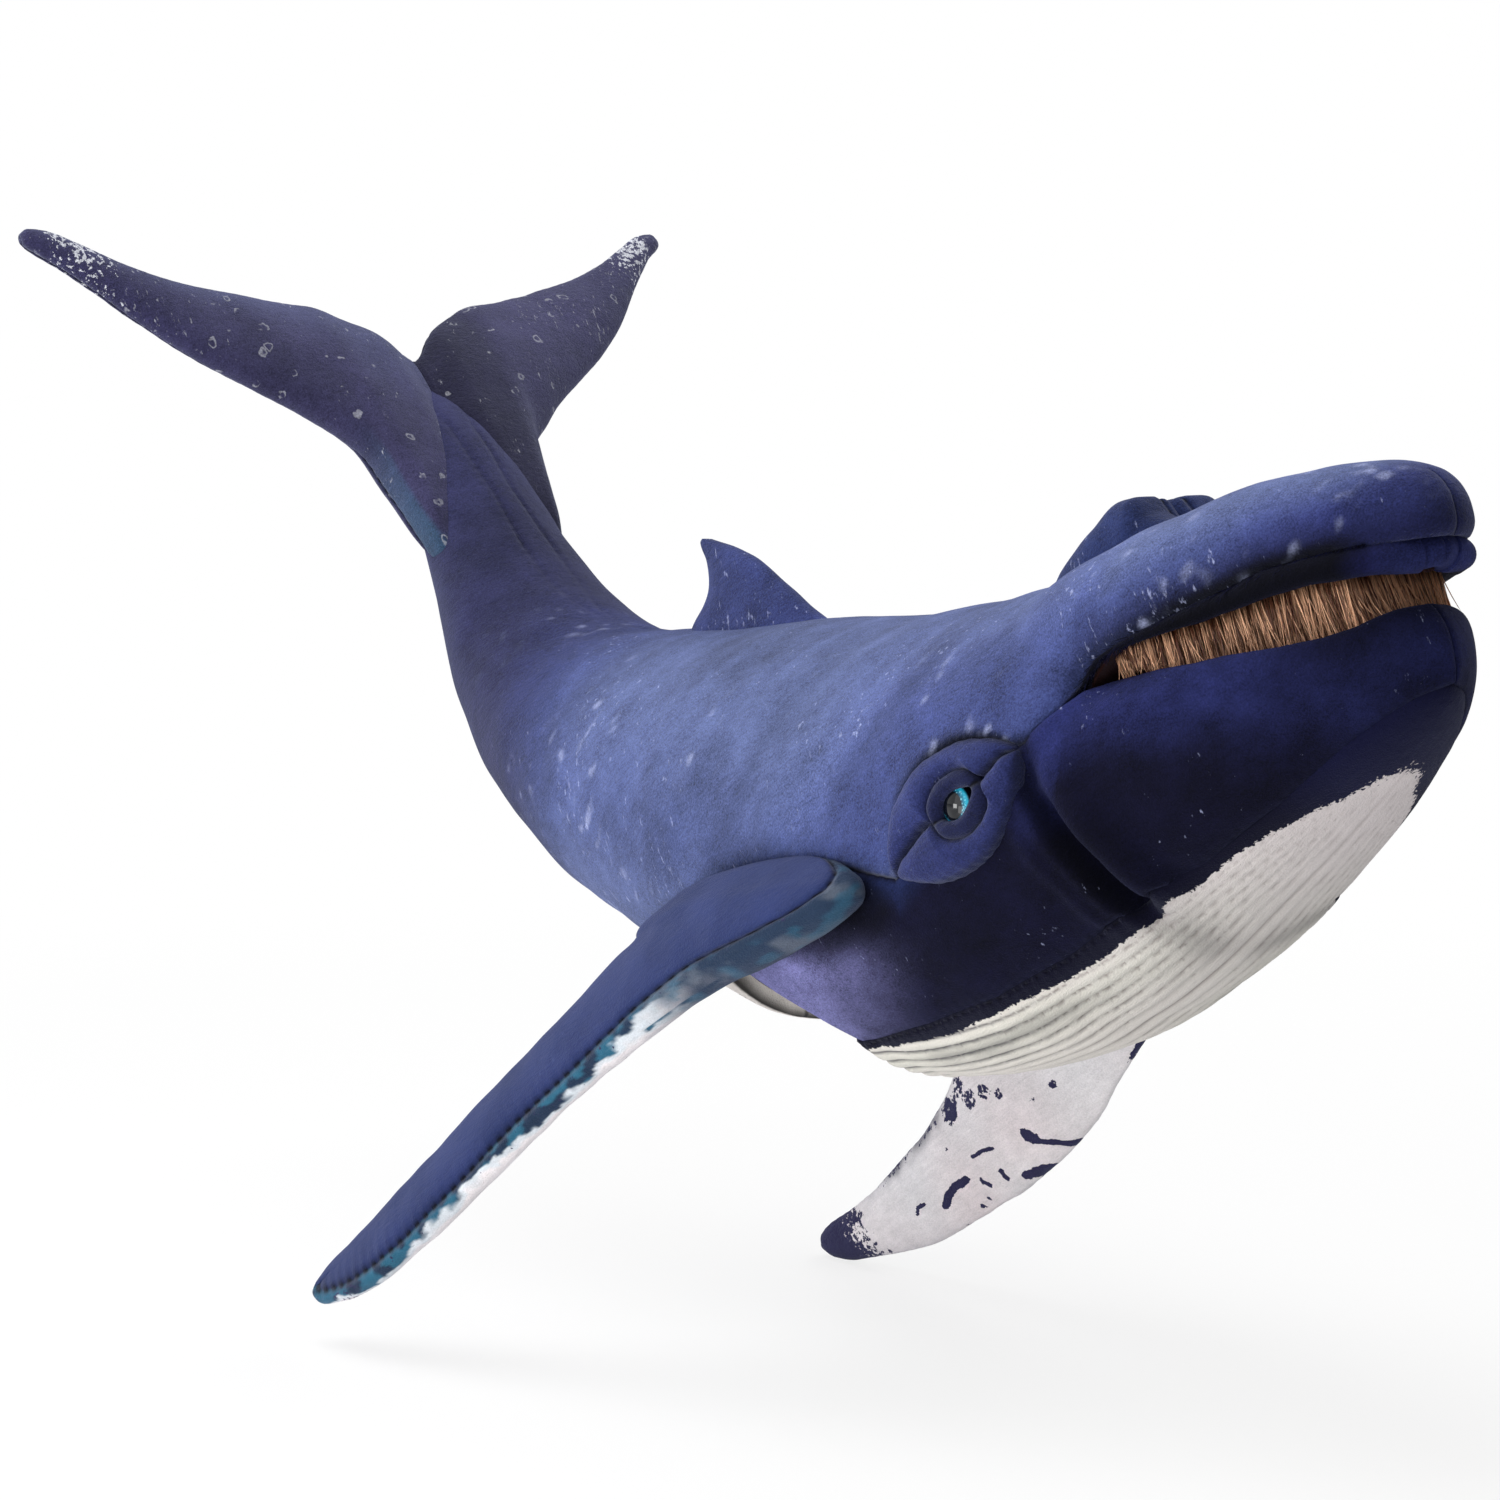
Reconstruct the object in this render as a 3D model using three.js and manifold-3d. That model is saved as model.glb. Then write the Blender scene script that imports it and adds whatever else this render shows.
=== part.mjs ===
/*
 * Humpback whale hand puppet.
 *
 * A stuffed trunk and tail carry a hollow, padded head. The hand goes in through the
 * opening under the belly, the fingers fill the upper jaw and the thumb the lower jaw.
 *
 * Millimetres. +X points to the snout, +Y to the whale's left, +Z up. The origin is the
 * centre of the hand opening. The profile numbers below are measured from DATUM, a point
 * inside the trunk, and the whole whale is set back by HAND_OPENING at the end.
 */
import * as THREE from 'three';
import { mergeVertices } from 'three/addons/utils/BufferGeometryUtils.js';
import Module from 'manifold-3d';

const wasm = await Module();
wasm.setup();
const { Manifold } = wasm;

// Cloth and clearances
const GAP = 0.3; // between two pieces that are sewn or rest against each other
const PADDING = 12; // padded wall of the hollow head
const SKIN = 3.5; // velour and interlining round the stuffed trunk
const LINING = 2; // glove lining inside the head
const PANEL = 5; // quilted palate and mouth floor
const CRUMB = 3; // cubic millimetres

// Hand opening under the belly, in whale coordinates from DATUM
const HAND_OPENING = [98, -88]; // x, z of its centre
const BELLY_EDGE = 60; // x of the belly panel's front edge
const HEM_EDGE = 136; // x of the throat panel's rear edge
const HEM_WIDTH = 7; // rolled binding of the throat panel
const BULKHEAD = 22; // x where the stuffing ends and the hollow begins

// Jaw
const JAW_HINGE = [246, 32]; // x, z of the fold at the corner of the mouth
const UPPER_LIP_PITCH = 27.5; // degrees above the horizon
const LOWER_LIP_PITCH = 22;
const CREASE_PITCH = -62; // front of the cheek fold
const JAW_OPEN = 18; // degrees that the jaw drops
const TROUGH = 24; // depth of the mouth floor under the lower lip
const NOSE_CAP_LENGTH = 22; // from the snout's tip back to the seam round it
const NOSE_LEAN = 18; // degrees that the seam leans back
const LIP_ROLL = 5; // radius of the padded upper lip

// Tail
const TAIL_HINGE = [-112, 12];
const TAIL_TILT = -36; // lean of the cross-section at the tail hinge
const TAIL_BEND = 10; // degrees each way

// Eyes
const EYE_CENTRE = [216, 4]; // x, z on the flank
const EYE_RADIUS = 7.5;
const EYE_DOME = 5; // how far the eye stands off the flank
const EYE_TURN = 43; // degrees, slope of the eye's long axis
const PATCH_LENGTH = 74; // almond patch, corner to corner
const PATCH_RISE = 21; // half the almond's height
const PATCH_BULGE = 7; // how far its two crescents stand off the flank
const LID_LENGTH = 29; // oval lid round the eye
const LID_HEIGHT = 22;
const LID_ROLL = 2.8;
const SHANK_RADIUS = 2.5;
const WASHER_RADIUS = 9;
const WASHER_THICKNESS = 2.5;

// Flippers
const FLIPPER_ROOT = [114, -44]; // x, z of the middle of the root seam
const FLIPPER_ROOT_OUT = 93; // distance of the root's axis from the middle plane
const FLIPPER_ROOT_TILT = 13; // degrees, front end up
const SOCKET_RADIUS = 16; // hollow in the flank that the rounded root turns in
const SOCKET_LENGTH = 126;
const FLIPPER_PITCH = 12; // degrees, leading edge turned out
const FLIPPER_DROOP_RIGHT = 28; // degrees outward from hanging straight down
const FLIPPER_DROOP_LEFT = 0;

// Throat pleats
const PLEATS = 16;
const PLEAT_DEPTH = 2;
const PLEAT_WIDTH = 1.6;

// Baleen
const STRANDS_A_SIDE = 118;
const STRANDS_FRONT = 66;
const STRAND_LENGTH = 18;
const STRAND_WIDTH = 0.45; // radius of its three-sided section
const BALEEN_BACKING = 4;

/*
 * Outlines as [x, z, tilt, half width, height above, depth below, exponent].
 * A section is a superellipse, and tilt leans it back in degrees.
 */
const BODY = [
  [-233, 148, -50, 8, 5, 5, 2],
  [-222, 134, -51, 16, 9, 9, 2],
  [-195, 99, -51, 25, 17, 17, 2],
  [-165, 62, -50, 32, 25, 25, 2],
  [-134, 27, -44, 42, 36, 36, 2],
  [-98, 4, -30, 52, 46, 47, 2],
  [-54, -10, -14, 62, 56, 55, 2.05],
  [0, -16, -4, 72, 64, 66, 2.1],
  [50, -20, 0, 80, 74, 76, 2.15],
  [105, -22, 0, 85, 80, 84, 2.2],
  [150, -18, 0, 87, 83, 87, 2.25],
  [200, -6, 0, 84, 83, 84, 2.3],
  [244, 10, 0, 74, 82, 72, 2.35],
  [266, 20, 0, 58, 66, 56, 2.4],
];
const UPPER_HEAD = [
  [196, 40, 0, 56, 31, 40, 2.3],
  [234, 54, 0, 64, 38, 46, 2.3],
  [268, 70, 0, 61, 36, 46, 2.4],
  [305, 84, 0, 48, 33, 40, 2.5],
  [335, 93, 0, 34, 29, 31, 2.5],
  [353, 96, 0, 20, 24, 21, 2.4],
  [363, 97, 0, 11, 15, 12, 2.1],
  [366, 97, 0, 3, 5, 4, 2],
];
const LOWER_HEAD = [
  [210, 6, 0, 76, 30, 90, 2.4],
  [236, 16, 0, 74, 30, 86, 2.4],
  [262, 26, 0, 69, 30, 78, 2.5],
  [290, 38, 0, 61, 30, 66, 2.5],
  [318, 48, 0, 50, 30, 52, 2.4],
  [340, 55, 0, 36, 28, 38, 2.3],
  [353, 56, 0, 23, 22, 25, 2.2],
  [361, 56, 0, 12, 14, 14, 2.1],
  [365, 55, 0, 3, 4, 5, 2],
];
// Seams in the middle plane, from the rear
const SIDE_SEAM = [[0, -64], [62, -47], [102, -30], [127, -24], [150, -22], [187, -24], [246, 32]];
const THROAT_SEAM = [
  [BELLY_EDGE, -67], [84, -69], [117, -82], [135, -91], [177, -78], [212, -65], [240, -51], [267, -35],
  [295, -16], [321, 4], [342, 21], [380, 50],
];
// Right and left flipper as [along the root, out from it, chord, thickness, rake in degrees]
const FLIPPER_RIGHT = [
  [0, -14, 80, 10, 0],
  [-1, -7, 104, 24, 0],
  [-3, 0, 112, 29, 0],
  [-9, 6, 98, 28, 4],
  [-33, 15, 68, 24, 16],
  [-58, 28, 50, 22, 36],
  [-83, 44, 43, 20, 52],
  [-111, 64, 41, 19, 56],
  [-141, 88, 41, 18, 58],
  [-170, 109, 38, 16, 60],
  [-191, 121, 30, 13, 60],
  [-205, 127, 18, 9, 60],
  [-213, 130, 5, 4, 60],
];
const FLIPPER_LEFT = [
  [0, -14, 80, 10, 0],
  [-1, -7, 104, 24, 0],
  [-3, 0, 112, 27, 0],
  [-9, 14, 104, 21, 8],
  [-28, 33, 86, 19, 19],
  [-52, 51, 74, 19, 28],
  [-74, 72, 68, 19, 37],
  [-97, 90, 55, 19, 46],
  [-124, 104, 43, 18, 55],
  [-152, 115, 36, 16, 62],
  [-180, 123, 26, 13, 65],
  [-203, 127, 16, 9, 67],
  [-217, 129, 5, 4, 68],
];
// Fluke as [out from the middle plane, leading edge, trailing edge, thickness], the edges
// measured up the fluke's plane from the notch
const FLUKE = [
  [4, -96, -6, 14],
  [16, -112, 6, 26],
  [28, -114, 13, 27],
  [35, -88, 17, 26],
  [41, -60, 19, 25],
  [55, -44, 21, 23],
  [79, -24, 27, 20],
  [102, -7, 34, 17],
  [122, 13, 43, 14],
  [138, 32, 53, 11],
  [152, 46, 59, 8],
  [160, 54, 59, 4],
];
const FLUKE_NOTCH = [-239, 153];
const FLUKE_TILT = 130; // degrees, the fluke's plane from the notch upwards
// Dorsal fin as [x, z, chord, thickness] from the base up
const DORSAL_FIN = [
  [14, 30, 104, 22],
  [13, 44, 96, 19],
  [8, 54, 72, 15],
  [0, 63, 50, 12],
  [-8, 71, 38, 9],
  [-17, 76, 26, 7],
  [-23, 78.5, 16, 5],
  [-27, 80, 5, 3],
];
// One lobe of the blowhole ridge, in the form of an outline
const BLOWHOLE = [
  [192, 72, 0, 4, 4, 8, 2],
  [198, 74, 0, 8, 11, 10, 2],
  [208, 77, 0, 12, 21, 12, 2],
  [217, 80, 0, 13, 24, 13, 2.2],
  [232, 84, 0, 12, 20, 13, 2.2],
  [248, 92, 0, 9, 11, 10, 2],
  [262, 98, 0, 4, 5, 5, 2],
];
const BLOWHOLE_OUT = 11; // distance of a lobe's middle from the middle plane
// Row of the baleen's roots in the plane of the palate, right half, as [x, out]
const BALEEN_LINE = [[268, 41], [290, 37], [308, 28], [322, 17], [331, 8], [333, 0]];

const colours = {
  flank: 0x3b4780,
  jowl: 0x232a5c,
  fluke: 0x2b2f55,
  throat: 0xd9d4d0,
  lining: 0x15182f,
  stuffing: 0xf2f0ea,
  baleen: 0xa5704a,
  eye: 0x101820,
  washer: 0xc9ccd0,
};

const radians = THREE.MathUtils.degToRad;

/** Slopes of a smooth curve through the values, flat where they turn. */
function slopes(places, values) {
  const steps = places.slice(1).map((place, i) => (values[i + 1] - values[i]) / (place - places[i]));
  return places.map((_, i) => {
    if (i === 0) return steps[0];
    if (i === places.length - 1) return steps[i - 1];
    const product = steps[i - 1] * steps[i];
    return product <= 0 ? 0 : (2 * product) / (steps[i - 1] + steps[i]);
  });
}

/** The rows of a table carried smoothly from the first to the last, at count places. */
function interpolate(rows, count) {
  const places = [0];
  for (let i = 1; i < rows.length; i += 1) {
    const run = Math.hypot(rows[i][0] - rows[i - 1][0], rows[i][1] - rows[i - 1][1]);
    places.push(places[i - 1] + run);
  }
  const columns = rows[0].map((_, c) => rows.map((row) => row[c]));
  const tangents = columns.map((values) => slopes(places, values));
  const total = places[places.length - 1];
  const result = [];
  for (let k = 0; k < count; k += 1) {
    const place = (total * k) / (count - 1);
    let i = places.findIndex((p) => p >= place - 1e-9);
    i = Math.max(i, 1) - 1;
    const span = places[i + 1] - places[i];
    const t = (place - places[i]) / span;
    result.push(columns.map((values, c) => {
      const rise = values[i] * (1 + 2 * t) * (1 - t) ** 2 + values[i + 1] * t * t * (3 - 2 * t);
      const lean = tangents[c][i] * t * (1 - t) ** 2 - tangents[c][i + 1] * t * t * (1 - t);
      return rise + lean * span;
    }));
  }
  return result;
}

/** One closed section of an outline row, drawn in or let out by inset. */
function section(row, inset, sides, phase = 0) {
  const [x, z, tilt, width, up, down, power] = row;
  const lean = radians(tilt);
  const points = [];
  for (let k = 0; k < sides; k += 1) {
    const angle = (2 * Math.PI * (k + phase)) / sides;
    const c = Math.cos(angle);
    const s = Math.sin(angle);
    const across = Math.max(width - inset, 0.4) * Math.sign(c) * Math.abs(c) ** (2 / power);
    const height = Math.max((s > 0 ? up : down) - inset, 0.4);
    const rise = height * Math.sign(s) * Math.abs(s) ** (2 / power);
    points.push(new THREE.Vector3(x - rise * Math.sin(lean), across, z + rise * Math.cos(lean)));
  }
  return points;
}

/** A closed solid through a row of rings with as many points each. */
function throughRings(rings) {
  const count = rings[0].length;
  const positions = [];
  const index = [];
  rings.forEach((ring) => ring.forEach((p) => positions.push(p.x, p.y, p.z)));
  for (let i = 0; i < rings.length - 1; i += 1) {
    for (let k = 0; k < count; k += 1) {
      const a = i * count + k;
      const b = i * count + ((k + 1) % count);
      index.push(a, b, b + count, a, b + count, a + count);
    }
  }
  [0, rings.length - 1].forEach((i) => {
    const centre = new THREE.Vector3();
    rings[i].forEach((p) => centre.add(p));
    centre.divideScalar(count);
    const hub = positions.length / 3;
    positions.push(centre.x, centre.y, centre.z);
    for (let k = 0; k < count; k += 1) {
      const a = i * count + k;
      const b = i * count + ((k + 1) % count);
      if (i === 0) index.push(hub, b, a);
      else index.push(hub, a, b);
    }
  });
  const geometry = new THREE.BufferGeometry();
  geometry.setAttribute('position', new THREE.Float32BufferAttribute(positions, 3));
  geometry.setIndex(index);
  return solidOf(geometry);
}

/** Turn a closed geometry into a solid, with its faces pointing out. */
function solidOf(geometry) {
  const bare = geometry.clone();
  bare.deleteAttribute('normal');
  bare.deleteAttribute('uv');
  const merged = mergeVertices(bare, 1e-4);
  const vertProperties = new Float32Array(merged.attributes.position.array);
  const triVerts = new Uint32Array(merged.index.array);
  const p = (k) => new THREE.Vector3().fromArray(vertProperties, 3 * k);
  let volume = 0;
  for (let i = 0; i < triVerts.length; i += 3) {
    volume += p(triVerts[i]).dot(p(triVerts[i + 1]).cross(p(triVerts[i + 2])));
  }
  if (volume < 0) {
    for (let i = 0; i < triVerts.length; i += 3) {
      [triVerts[i + 1], triVerts[i + 2]] = [triVerts[i + 2], triVerts[i + 1]];
    }
  }
  return new Manifold(new wasm.Mesh({ numProp: 3, vertProperties, triVerts }));
}

/** A swelling, tapering form through the rows of an outline. */
function loft(rows, inset = 0, rings = 16, sides = 28) {
  return throughRings(interpolate(rows, rings).map((row) => section(row, inset, sides)));
}

/** A prism across the whole whale with the given outline in the middle plane. */
function prism(points, from = -260, to = 260) {
  const shape = new THREE.Shape(points.map(([x, z]) => new THREE.Vector2(x, z)));
  const geometry = new THREE.ExtrudeGeometry(shape, { depth: to - from, bevelEnabled: false });
  geometry.rotateX(Math.PI / 2);
  geometry.translate(0, to, 0);
  return solidOf(geometry);
}

/** The prism between two directions from an apex, drawn in by setback. */
function wedge([x, z], fromDegrees, toDegrees, setback = 0, reach = 700) {
  const middle = radians((fromDegrees + toDegrees) / 2);
  const shift = setback / Math.sin(radians((toDegrees - fromDegrees) / 2));
  const tip = [x + shift * Math.cos(middle), z + shift * Math.sin(middle)];
  const steps = Math.ceil((toDegrees - fromDegrees) / 40);
  const points = [tip];
  for (let k = 0; k <= steps; k += 1) {
    const angle = radians(fromDegrees + ((toDegrees - fromDegrees) * k) / steps);
    points.push([tip[0] + reach * Math.cos(angle), tip[1] + reach * Math.sin(angle)]);
  }
  return prism(points);
}

/** A thin upright curtain along a line of points, as wide as the seam that it cuts. */
function ribbon(points, width = GAP) {
  const left = [];
  const right = [];
  points.forEach(([x, z], i) => {
    const before = points[Math.max(i - 1, 0)];
    const after = points[Math.min(i + 1, points.length - 1)];
    const length = Math.hypot(after[0] - before[0], after[1] - before[1]);
    const nx = (-(after[1] - before[1]) / length) * (width / 2);
    const nz = ((after[0] - before[0]) / length) * (width / 2);
    left.push([x + nx, z + nz]);
    right.unshift([x - nx, z - nz]);
  });
  return prism([...left, ...right]);
}

/** Everything between two upright planes across the whale. */
function slab(fromX, toX) {
  return prism([[fromX, -400], [toX, -400], [toX, 400], [fromX, 400]]);
}

/** Everything under a line of points in the middle plane. */
function under(points) {
  return prism([[points[0][0], -400], ...points, [points[points.length - 1][0], -400]]);
}

/** One side of the middle plane: -1 right, 1 left. */
function half(side, clear = GAP / 2) {
  const points = [[-400, -400], [500, -400], [500, 400], [-400, 400]];
  return side < 0 ? prism(points, -260, -clear) : prism(points, clear, 260);
}

const finishes = Object.fromEntries(Object.entries(colours).map(([name, color]) => {
  const roughness = name === 'eye' ? 0.08 : 0.9;
  return [name, new THREE.MeshStandardMaterial({ name, color, roughness, metalness: 0 })];
}));
const whale = new THREE.Group();

/** A solid without the crumbs, under CRUMB in volume, that a cut leaves beside it. */
function whole(solid) {
  const parts = solid.decompose().filter((part) => part.volume() > CRUMB);
  if (parts.length === 0) return solid;
  return parts.length === 1 ? parts[0] : parts.reduce((rest, part) => rest.add(part));
}

/** Hang a finished solid in the whale under its own name. */
function add(name, solid, finish) {
  const { vertProperties, triVerts } = whole(solid).getMesh();
  const geometry = new THREE.BufferGeometry();
  geometry.setAttribute('position', new THREE.BufferAttribute(new Float32Array(vertProperties), 3));
  geometry.setIndex(new THREE.BufferAttribute(new Uint32Array(triVerts), 1));
  geometry.computeVertexNormals();
  const piece = new THREE.Mesh(geometry, finishes[finish]);
  piece.name = name;
  whale.add(piece);
}

const SIDES = [['right', -1], ['left', 1]];

/** The row of an outline at a place along x. */
function rowAt(rows, x) {
  const fine = interpolate(rows, 90);
  return fine.reduce((best, row) => (Math.abs(row[0] - x) < Math.abs(best[0] - x) ? row : best));
}

/** Half the width of an outline's form at x and z. */
function widthAt(rows, x, z) {
  const [, centre, , width, up, down, power] = rowAt(rows, x);
  const share = Math.min(Math.abs(z - centre) / (z > centre ? up : down), 0.999);
  return width * (1 - share ** power) ** (1 / power);
}

// The trunk and the two head forms, let in by any depth
const tipOf = (rows) => rows[rows.length - 1][0];
const fine = { body: [19, 28], head: [11, 26] };
const coarse = { body: [12, 18], head: [8, 16] };
const bodyForm = (inset, detail = fine) => loft(BODY, inset, ...detail.body);
const snoutForm = (rows, inset, detail) => loft(rows, inset, ...detail.head)
  .intersect(slab(0, tipOf(rows) - Math.max(inset, 0) + 0.01));
const headForm = (inset, detail = fine) => bodyForm(inset, detail)
  .intersect(slab(BULKHEAD - 80, tipOf(BODY) - 1))
  .add(snoutForm(UPPER_HEAD, inset, detail)).add(snoutForm(LOWER_HEAD, inset, detail));
const headWidth = (x, z) => {
  const trunk = x < tipOf(BODY) ? widthAt(BODY, x, z) : 0;
  return Math.max(trunk, widthAt(UPPER_HEAD, x, z));
};

// Zones round the corner of the mouth
const NECK_PITCH = CREASE_PITCH - JAW_OPEN - 1;
const behindJaw = wedge(JAW_HINGE, UPPER_LIP_PITCH, 360 + NECK_PITCH, GAP / 2);
const jawZone = wedge(JAW_HINGE, CREASE_PITCH, LOWER_LIP_PITCH, 2 * GAP);
const foldZone = wedge(JAW_HINGE, NECK_PITCH, CREASE_PITCH, GAP);
const snoutZone = wedge(JAW_HINGE, UPPER_LIP_PITCH, 90, GAP / 2);
const neckZone = behindJaw.subtract(wedge(JAW_HINGE, UPPER_LIP_PITCH, 90, -GAP / 2));

/** A turned solid about the y direction at a point of the flank, from a profile [radius, y]. */
function turned([x, z], y, side, profile, sides = 12) {
  const points = profile.map(([radius, rise]) => new THREE.Vector2(radius, rise));
  const geometry = new THREE.LatheGeometry(points, sides);
  geometry.scale(1, side, 1);
  geometry.translate(x, y * side, z);
  return solidOf(geometry);
}

/** Half-lens or full-lens panels through frames of centre, chord and normal vectors. */
function blade(frames, side, sides = 8) {
  return throughRings(frames.map(({ centre, chord, normal, width, thickness }) => {
    const ring = [];
    for (let k = 0; k <= sides; k += 1) {
      const angle = (Math.PI * k) / sides;
      const point = centre.clone().addScaledVector(chord, (Math.cos(angle) * width) / 2);
      const rise = (Math.sin(angle) * thickness) / 2;
      ring.push(point.addScaledVector(normal, side * (rise + GAP / 2)));
    }
    return ring;
  }));
}

/** Eye, lid, two crescents, washer, and the hole that the shank needs. */
function eyeParts(side) {
  const flank = widthAt(BODY, ...EYE_CENTRE);
  const turn = radians(EYE_TURN);
  const place = (u, v, out) => new THREE.Vector3(
    EYE_CENTRE[0] + u * Math.cos(turn) - v * Math.sin(turn),
    0,
    EYE_CENTRE[1] + u * Math.sin(turn) + v * Math.cos(turn),
  ).setY(0).add(new THREE.Vector3(0, out, 0));
  const onFlank = (u, v, out) => {
    const point = place(u, v, 0);
    return point.setY(side * (widthAt(BODY, point.x, point.z) + out));
  };
  const dome = [[0, EYE_DOME]];
  for (let k = 1; k <= 4; k += 1) {
    const angle = (Math.PI / 2) * (k / 4);
    dome.push([EYE_RADIUS * Math.sin(angle), EYE_DOME * Math.cos(angle)]);
  }
  const inner = -PADDING - 1;
  const eye = turned(EYE_CENTRE, flank, side, [
    [0, inner], [SHANK_RADIUS, inner], [SHANK_RADIUS, -1], [EYE_RADIUS, -1], ...dome.reverse(),
  ]);
  const washerTop = -PADDING + WASHER_THICKNESS;
  const hole = SHANK_RADIUS + GAP;
  const washer = turned(EYE_CENTRE, flank, side, [
    [hole, -PADDING], [WASHER_RADIUS, -PADDING], [WASHER_RADIUS, washerTop], [hole, washerTop],
    [hole, -PADDING],
  ]);
  const bed = washerTop + GAP;
  const seat = EYE_RADIUS + GAP;
  const room = turned(EYE_CENTRE, flank, side, [
    [0, -PADDING - 12], [WASHER_RADIUS + GAP, -PADDING - 12], [WASHER_RADIUS + GAP, bed],
    [hole, bed], [hole, -1 - GAP], [seat, -1 - GAP], [seat, 12], [0, 12],
  ]);
  const lidRing = [];
  for (let k = 0; k < 16; k += 1) {
    const around = (2 * Math.PI * k) / 16;
    const ring = [];
    for (let j = 0; j < 6; j += 1) {
      const angle = (2 * Math.PI * j) / 6;
      const reach = LID_ROLL * Math.cos(angle);
      const u = (LID_LENGTH / 2 - LID_ROLL + reach) * Math.cos(around);
      const v = (LID_HEIGHT / 2 - LID_ROLL + reach) * Math.sin(around);
      ring.push(onFlank(u, v, LID_ROLL + 1 + LID_ROLL * 1.4 * Math.sin(angle)));
    }
    lidRing.push(ring);
  }
  const crescent = (up) => throughRings(Array.from({ length: 13 }, (_, i) => {
    const u = (PATCH_LENGTH / 2 - 2) * (-1 + (2 * i) / 12);
    const outer = PATCH_RISE * (1 - (u / (PATCH_LENGTH / 2)) ** 2) + 0.6;
    const lid = 1 - (u / (LID_LENGTH / 2 + GAP)) ** 2;
    const inside = Math.max(lid > 0 ? (LID_HEIGHT / 2 + GAP) * Math.sqrt(lid) : 0, GAP);
    const middle = (outer + inside) / 2;
    const reach = (outer - inside) / 2;
    return Array.from({ length: 7 }, (__, j) => {
      const angle = (2 * Math.PI * j) / 7;
      const bulge = PATCH_BULGE * Math.min(1, reach / 6);
      return onFlank(u, up * (middle + reach * Math.cos(angle)), bulge * Math.sin(angle));
    });
  }));
  return { eye, washer, room, lid: ringSolid(lidRing), upper: crescent(1), lower: crescent(-1) };
}

/** A closed loop of rings, as round a lid. */
function ringSolid(rings) {
  const count = rings[0].length;
  const positions = rings.flatMap((ring) => ring.flatMap((p) => [p.x, p.y, p.z]));
  const index = [];
  rings.forEach((_, i) => {
    const next = (i + 1) % rings.length;
    for (let k = 0; k < count; k += 1) {
      const a = i * count + k;
      const b = i * count + ((k + 1) % count);
      const c = next * count + ((k + 1) % count);
      const d = next * count + k;
      index.push(a, b, c, a, c, d);
    }
  });
  const geometry = new THREE.BufferGeometry();
  geometry.setAttribute('position', new THREE.Float32BufferAttribute(positions, 3));
  geometry.setIndex(index);
  return solidOf(geometry);
}

/** Frames of a flipper that hangs at droop degrees from straight down. */
function flipperFrames(rows, side, droop) {
  const tilt = radians(FLIPPER_ROOT_TILT);
  const swing = radians(droop);
  const along = new THREE.Vector3(Math.cos(tilt), 0, Math.sin(tilt));
  const down = new THREE.Vector3(0, side * Math.sin(swing), -Math.cos(swing));
  down.addScaledVector(along, -down.dot(along)).normalize();
  const outward = new THREE.Vector3().crossVectors(along, down).multiplyScalar(side);
  const root = new THREE.Vector3(FLIPPER_ROOT[0], side * FLIPPER_ROOT_OUT, FLIPPER_ROOT[1]);
  return interpolate(rows, 16).map(([x, out, width, thickness, rake]) => {
    const turn = radians(rake);
    const flat = along.clone().multiplyScalar(Math.cos(turn)).addScaledVector(down, Math.sin(turn));
    const pitch = radians(FLIPPER_PITCH) * Math.min(Math.max(out, 0) / 40, 1);
    const chord = flat.clone().multiplyScalar(Math.cos(pitch)).addScaledVector(outward, Math.sin(pitch));
    const normal = outward.clone().multiplyScalar(Math.cos(pitch)).addScaledVector(flat, -Math.sin(pitch));
    const centre = root.clone().addScaledVector(along, x).addScaledVector(down, out);
    return { centre, chord, normal, width, thickness };
  });
}

/** The rounded hollow in the flank that a flipper's root turns in. */
function flipperSocket(side) {
  const radius = SOCKET_RADIUS;
  const straight = SOCKET_LENGTH / 2 - radius;
  const profile = [];
  for (let k = 0; k <= 4; k += 1) {
    const angle = (Math.PI / 2) * (k / 4);
    profile.push(new THREE.Vector2(radius * Math.sin(angle), -straight - radius * Math.cos(angle)));
  }
  for (let k = 4; k >= 0; k -= 1) {
    const angle = (Math.PI / 2) * (k / 4);
    profile.push(new THREE.Vector2(radius * Math.sin(angle), straight + radius * Math.cos(angle)));
  }
  const geometry = new THREE.LatheGeometry(profile, 20);
  geometry.rotateZ(-Math.PI / 2 + radians(FLIPPER_ROOT_TILT));
  geometry.applyMatrix4(new THREE.Matrix4().set(1, 0, 0, 0, 0, 0, 1, 0, 0, 1, 0, 0, 0, 0, 0, 1));
  geometry.translate(FLIPPER_ROOT[0], side * FLIPPER_ROOT_OUT, FLIPPER_ROOT[1]);
  return solidOf(geometry);
}

/** A bow tie across the body, open by spread degrees each side of the hinge line. */
function bowTie([x, z], tilt, spread, neck) {
  const reach = 120;
  const lean = radians(tilt);
  const flare = neck + reach * Math.tan(radians(spread));
  const local = [[-neck, 0], [-flare, reach], [flare, reach], [neck, 0], [flare, -reach], [-flare, -reach]];
  return prism(local.map(([u, v]) => [
    x + u * Math.cos(lean) - v * Math.sin(lean),
    z + u * Math.sin(lean) + v * Math.cos(lean),
  ]));
}

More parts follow.
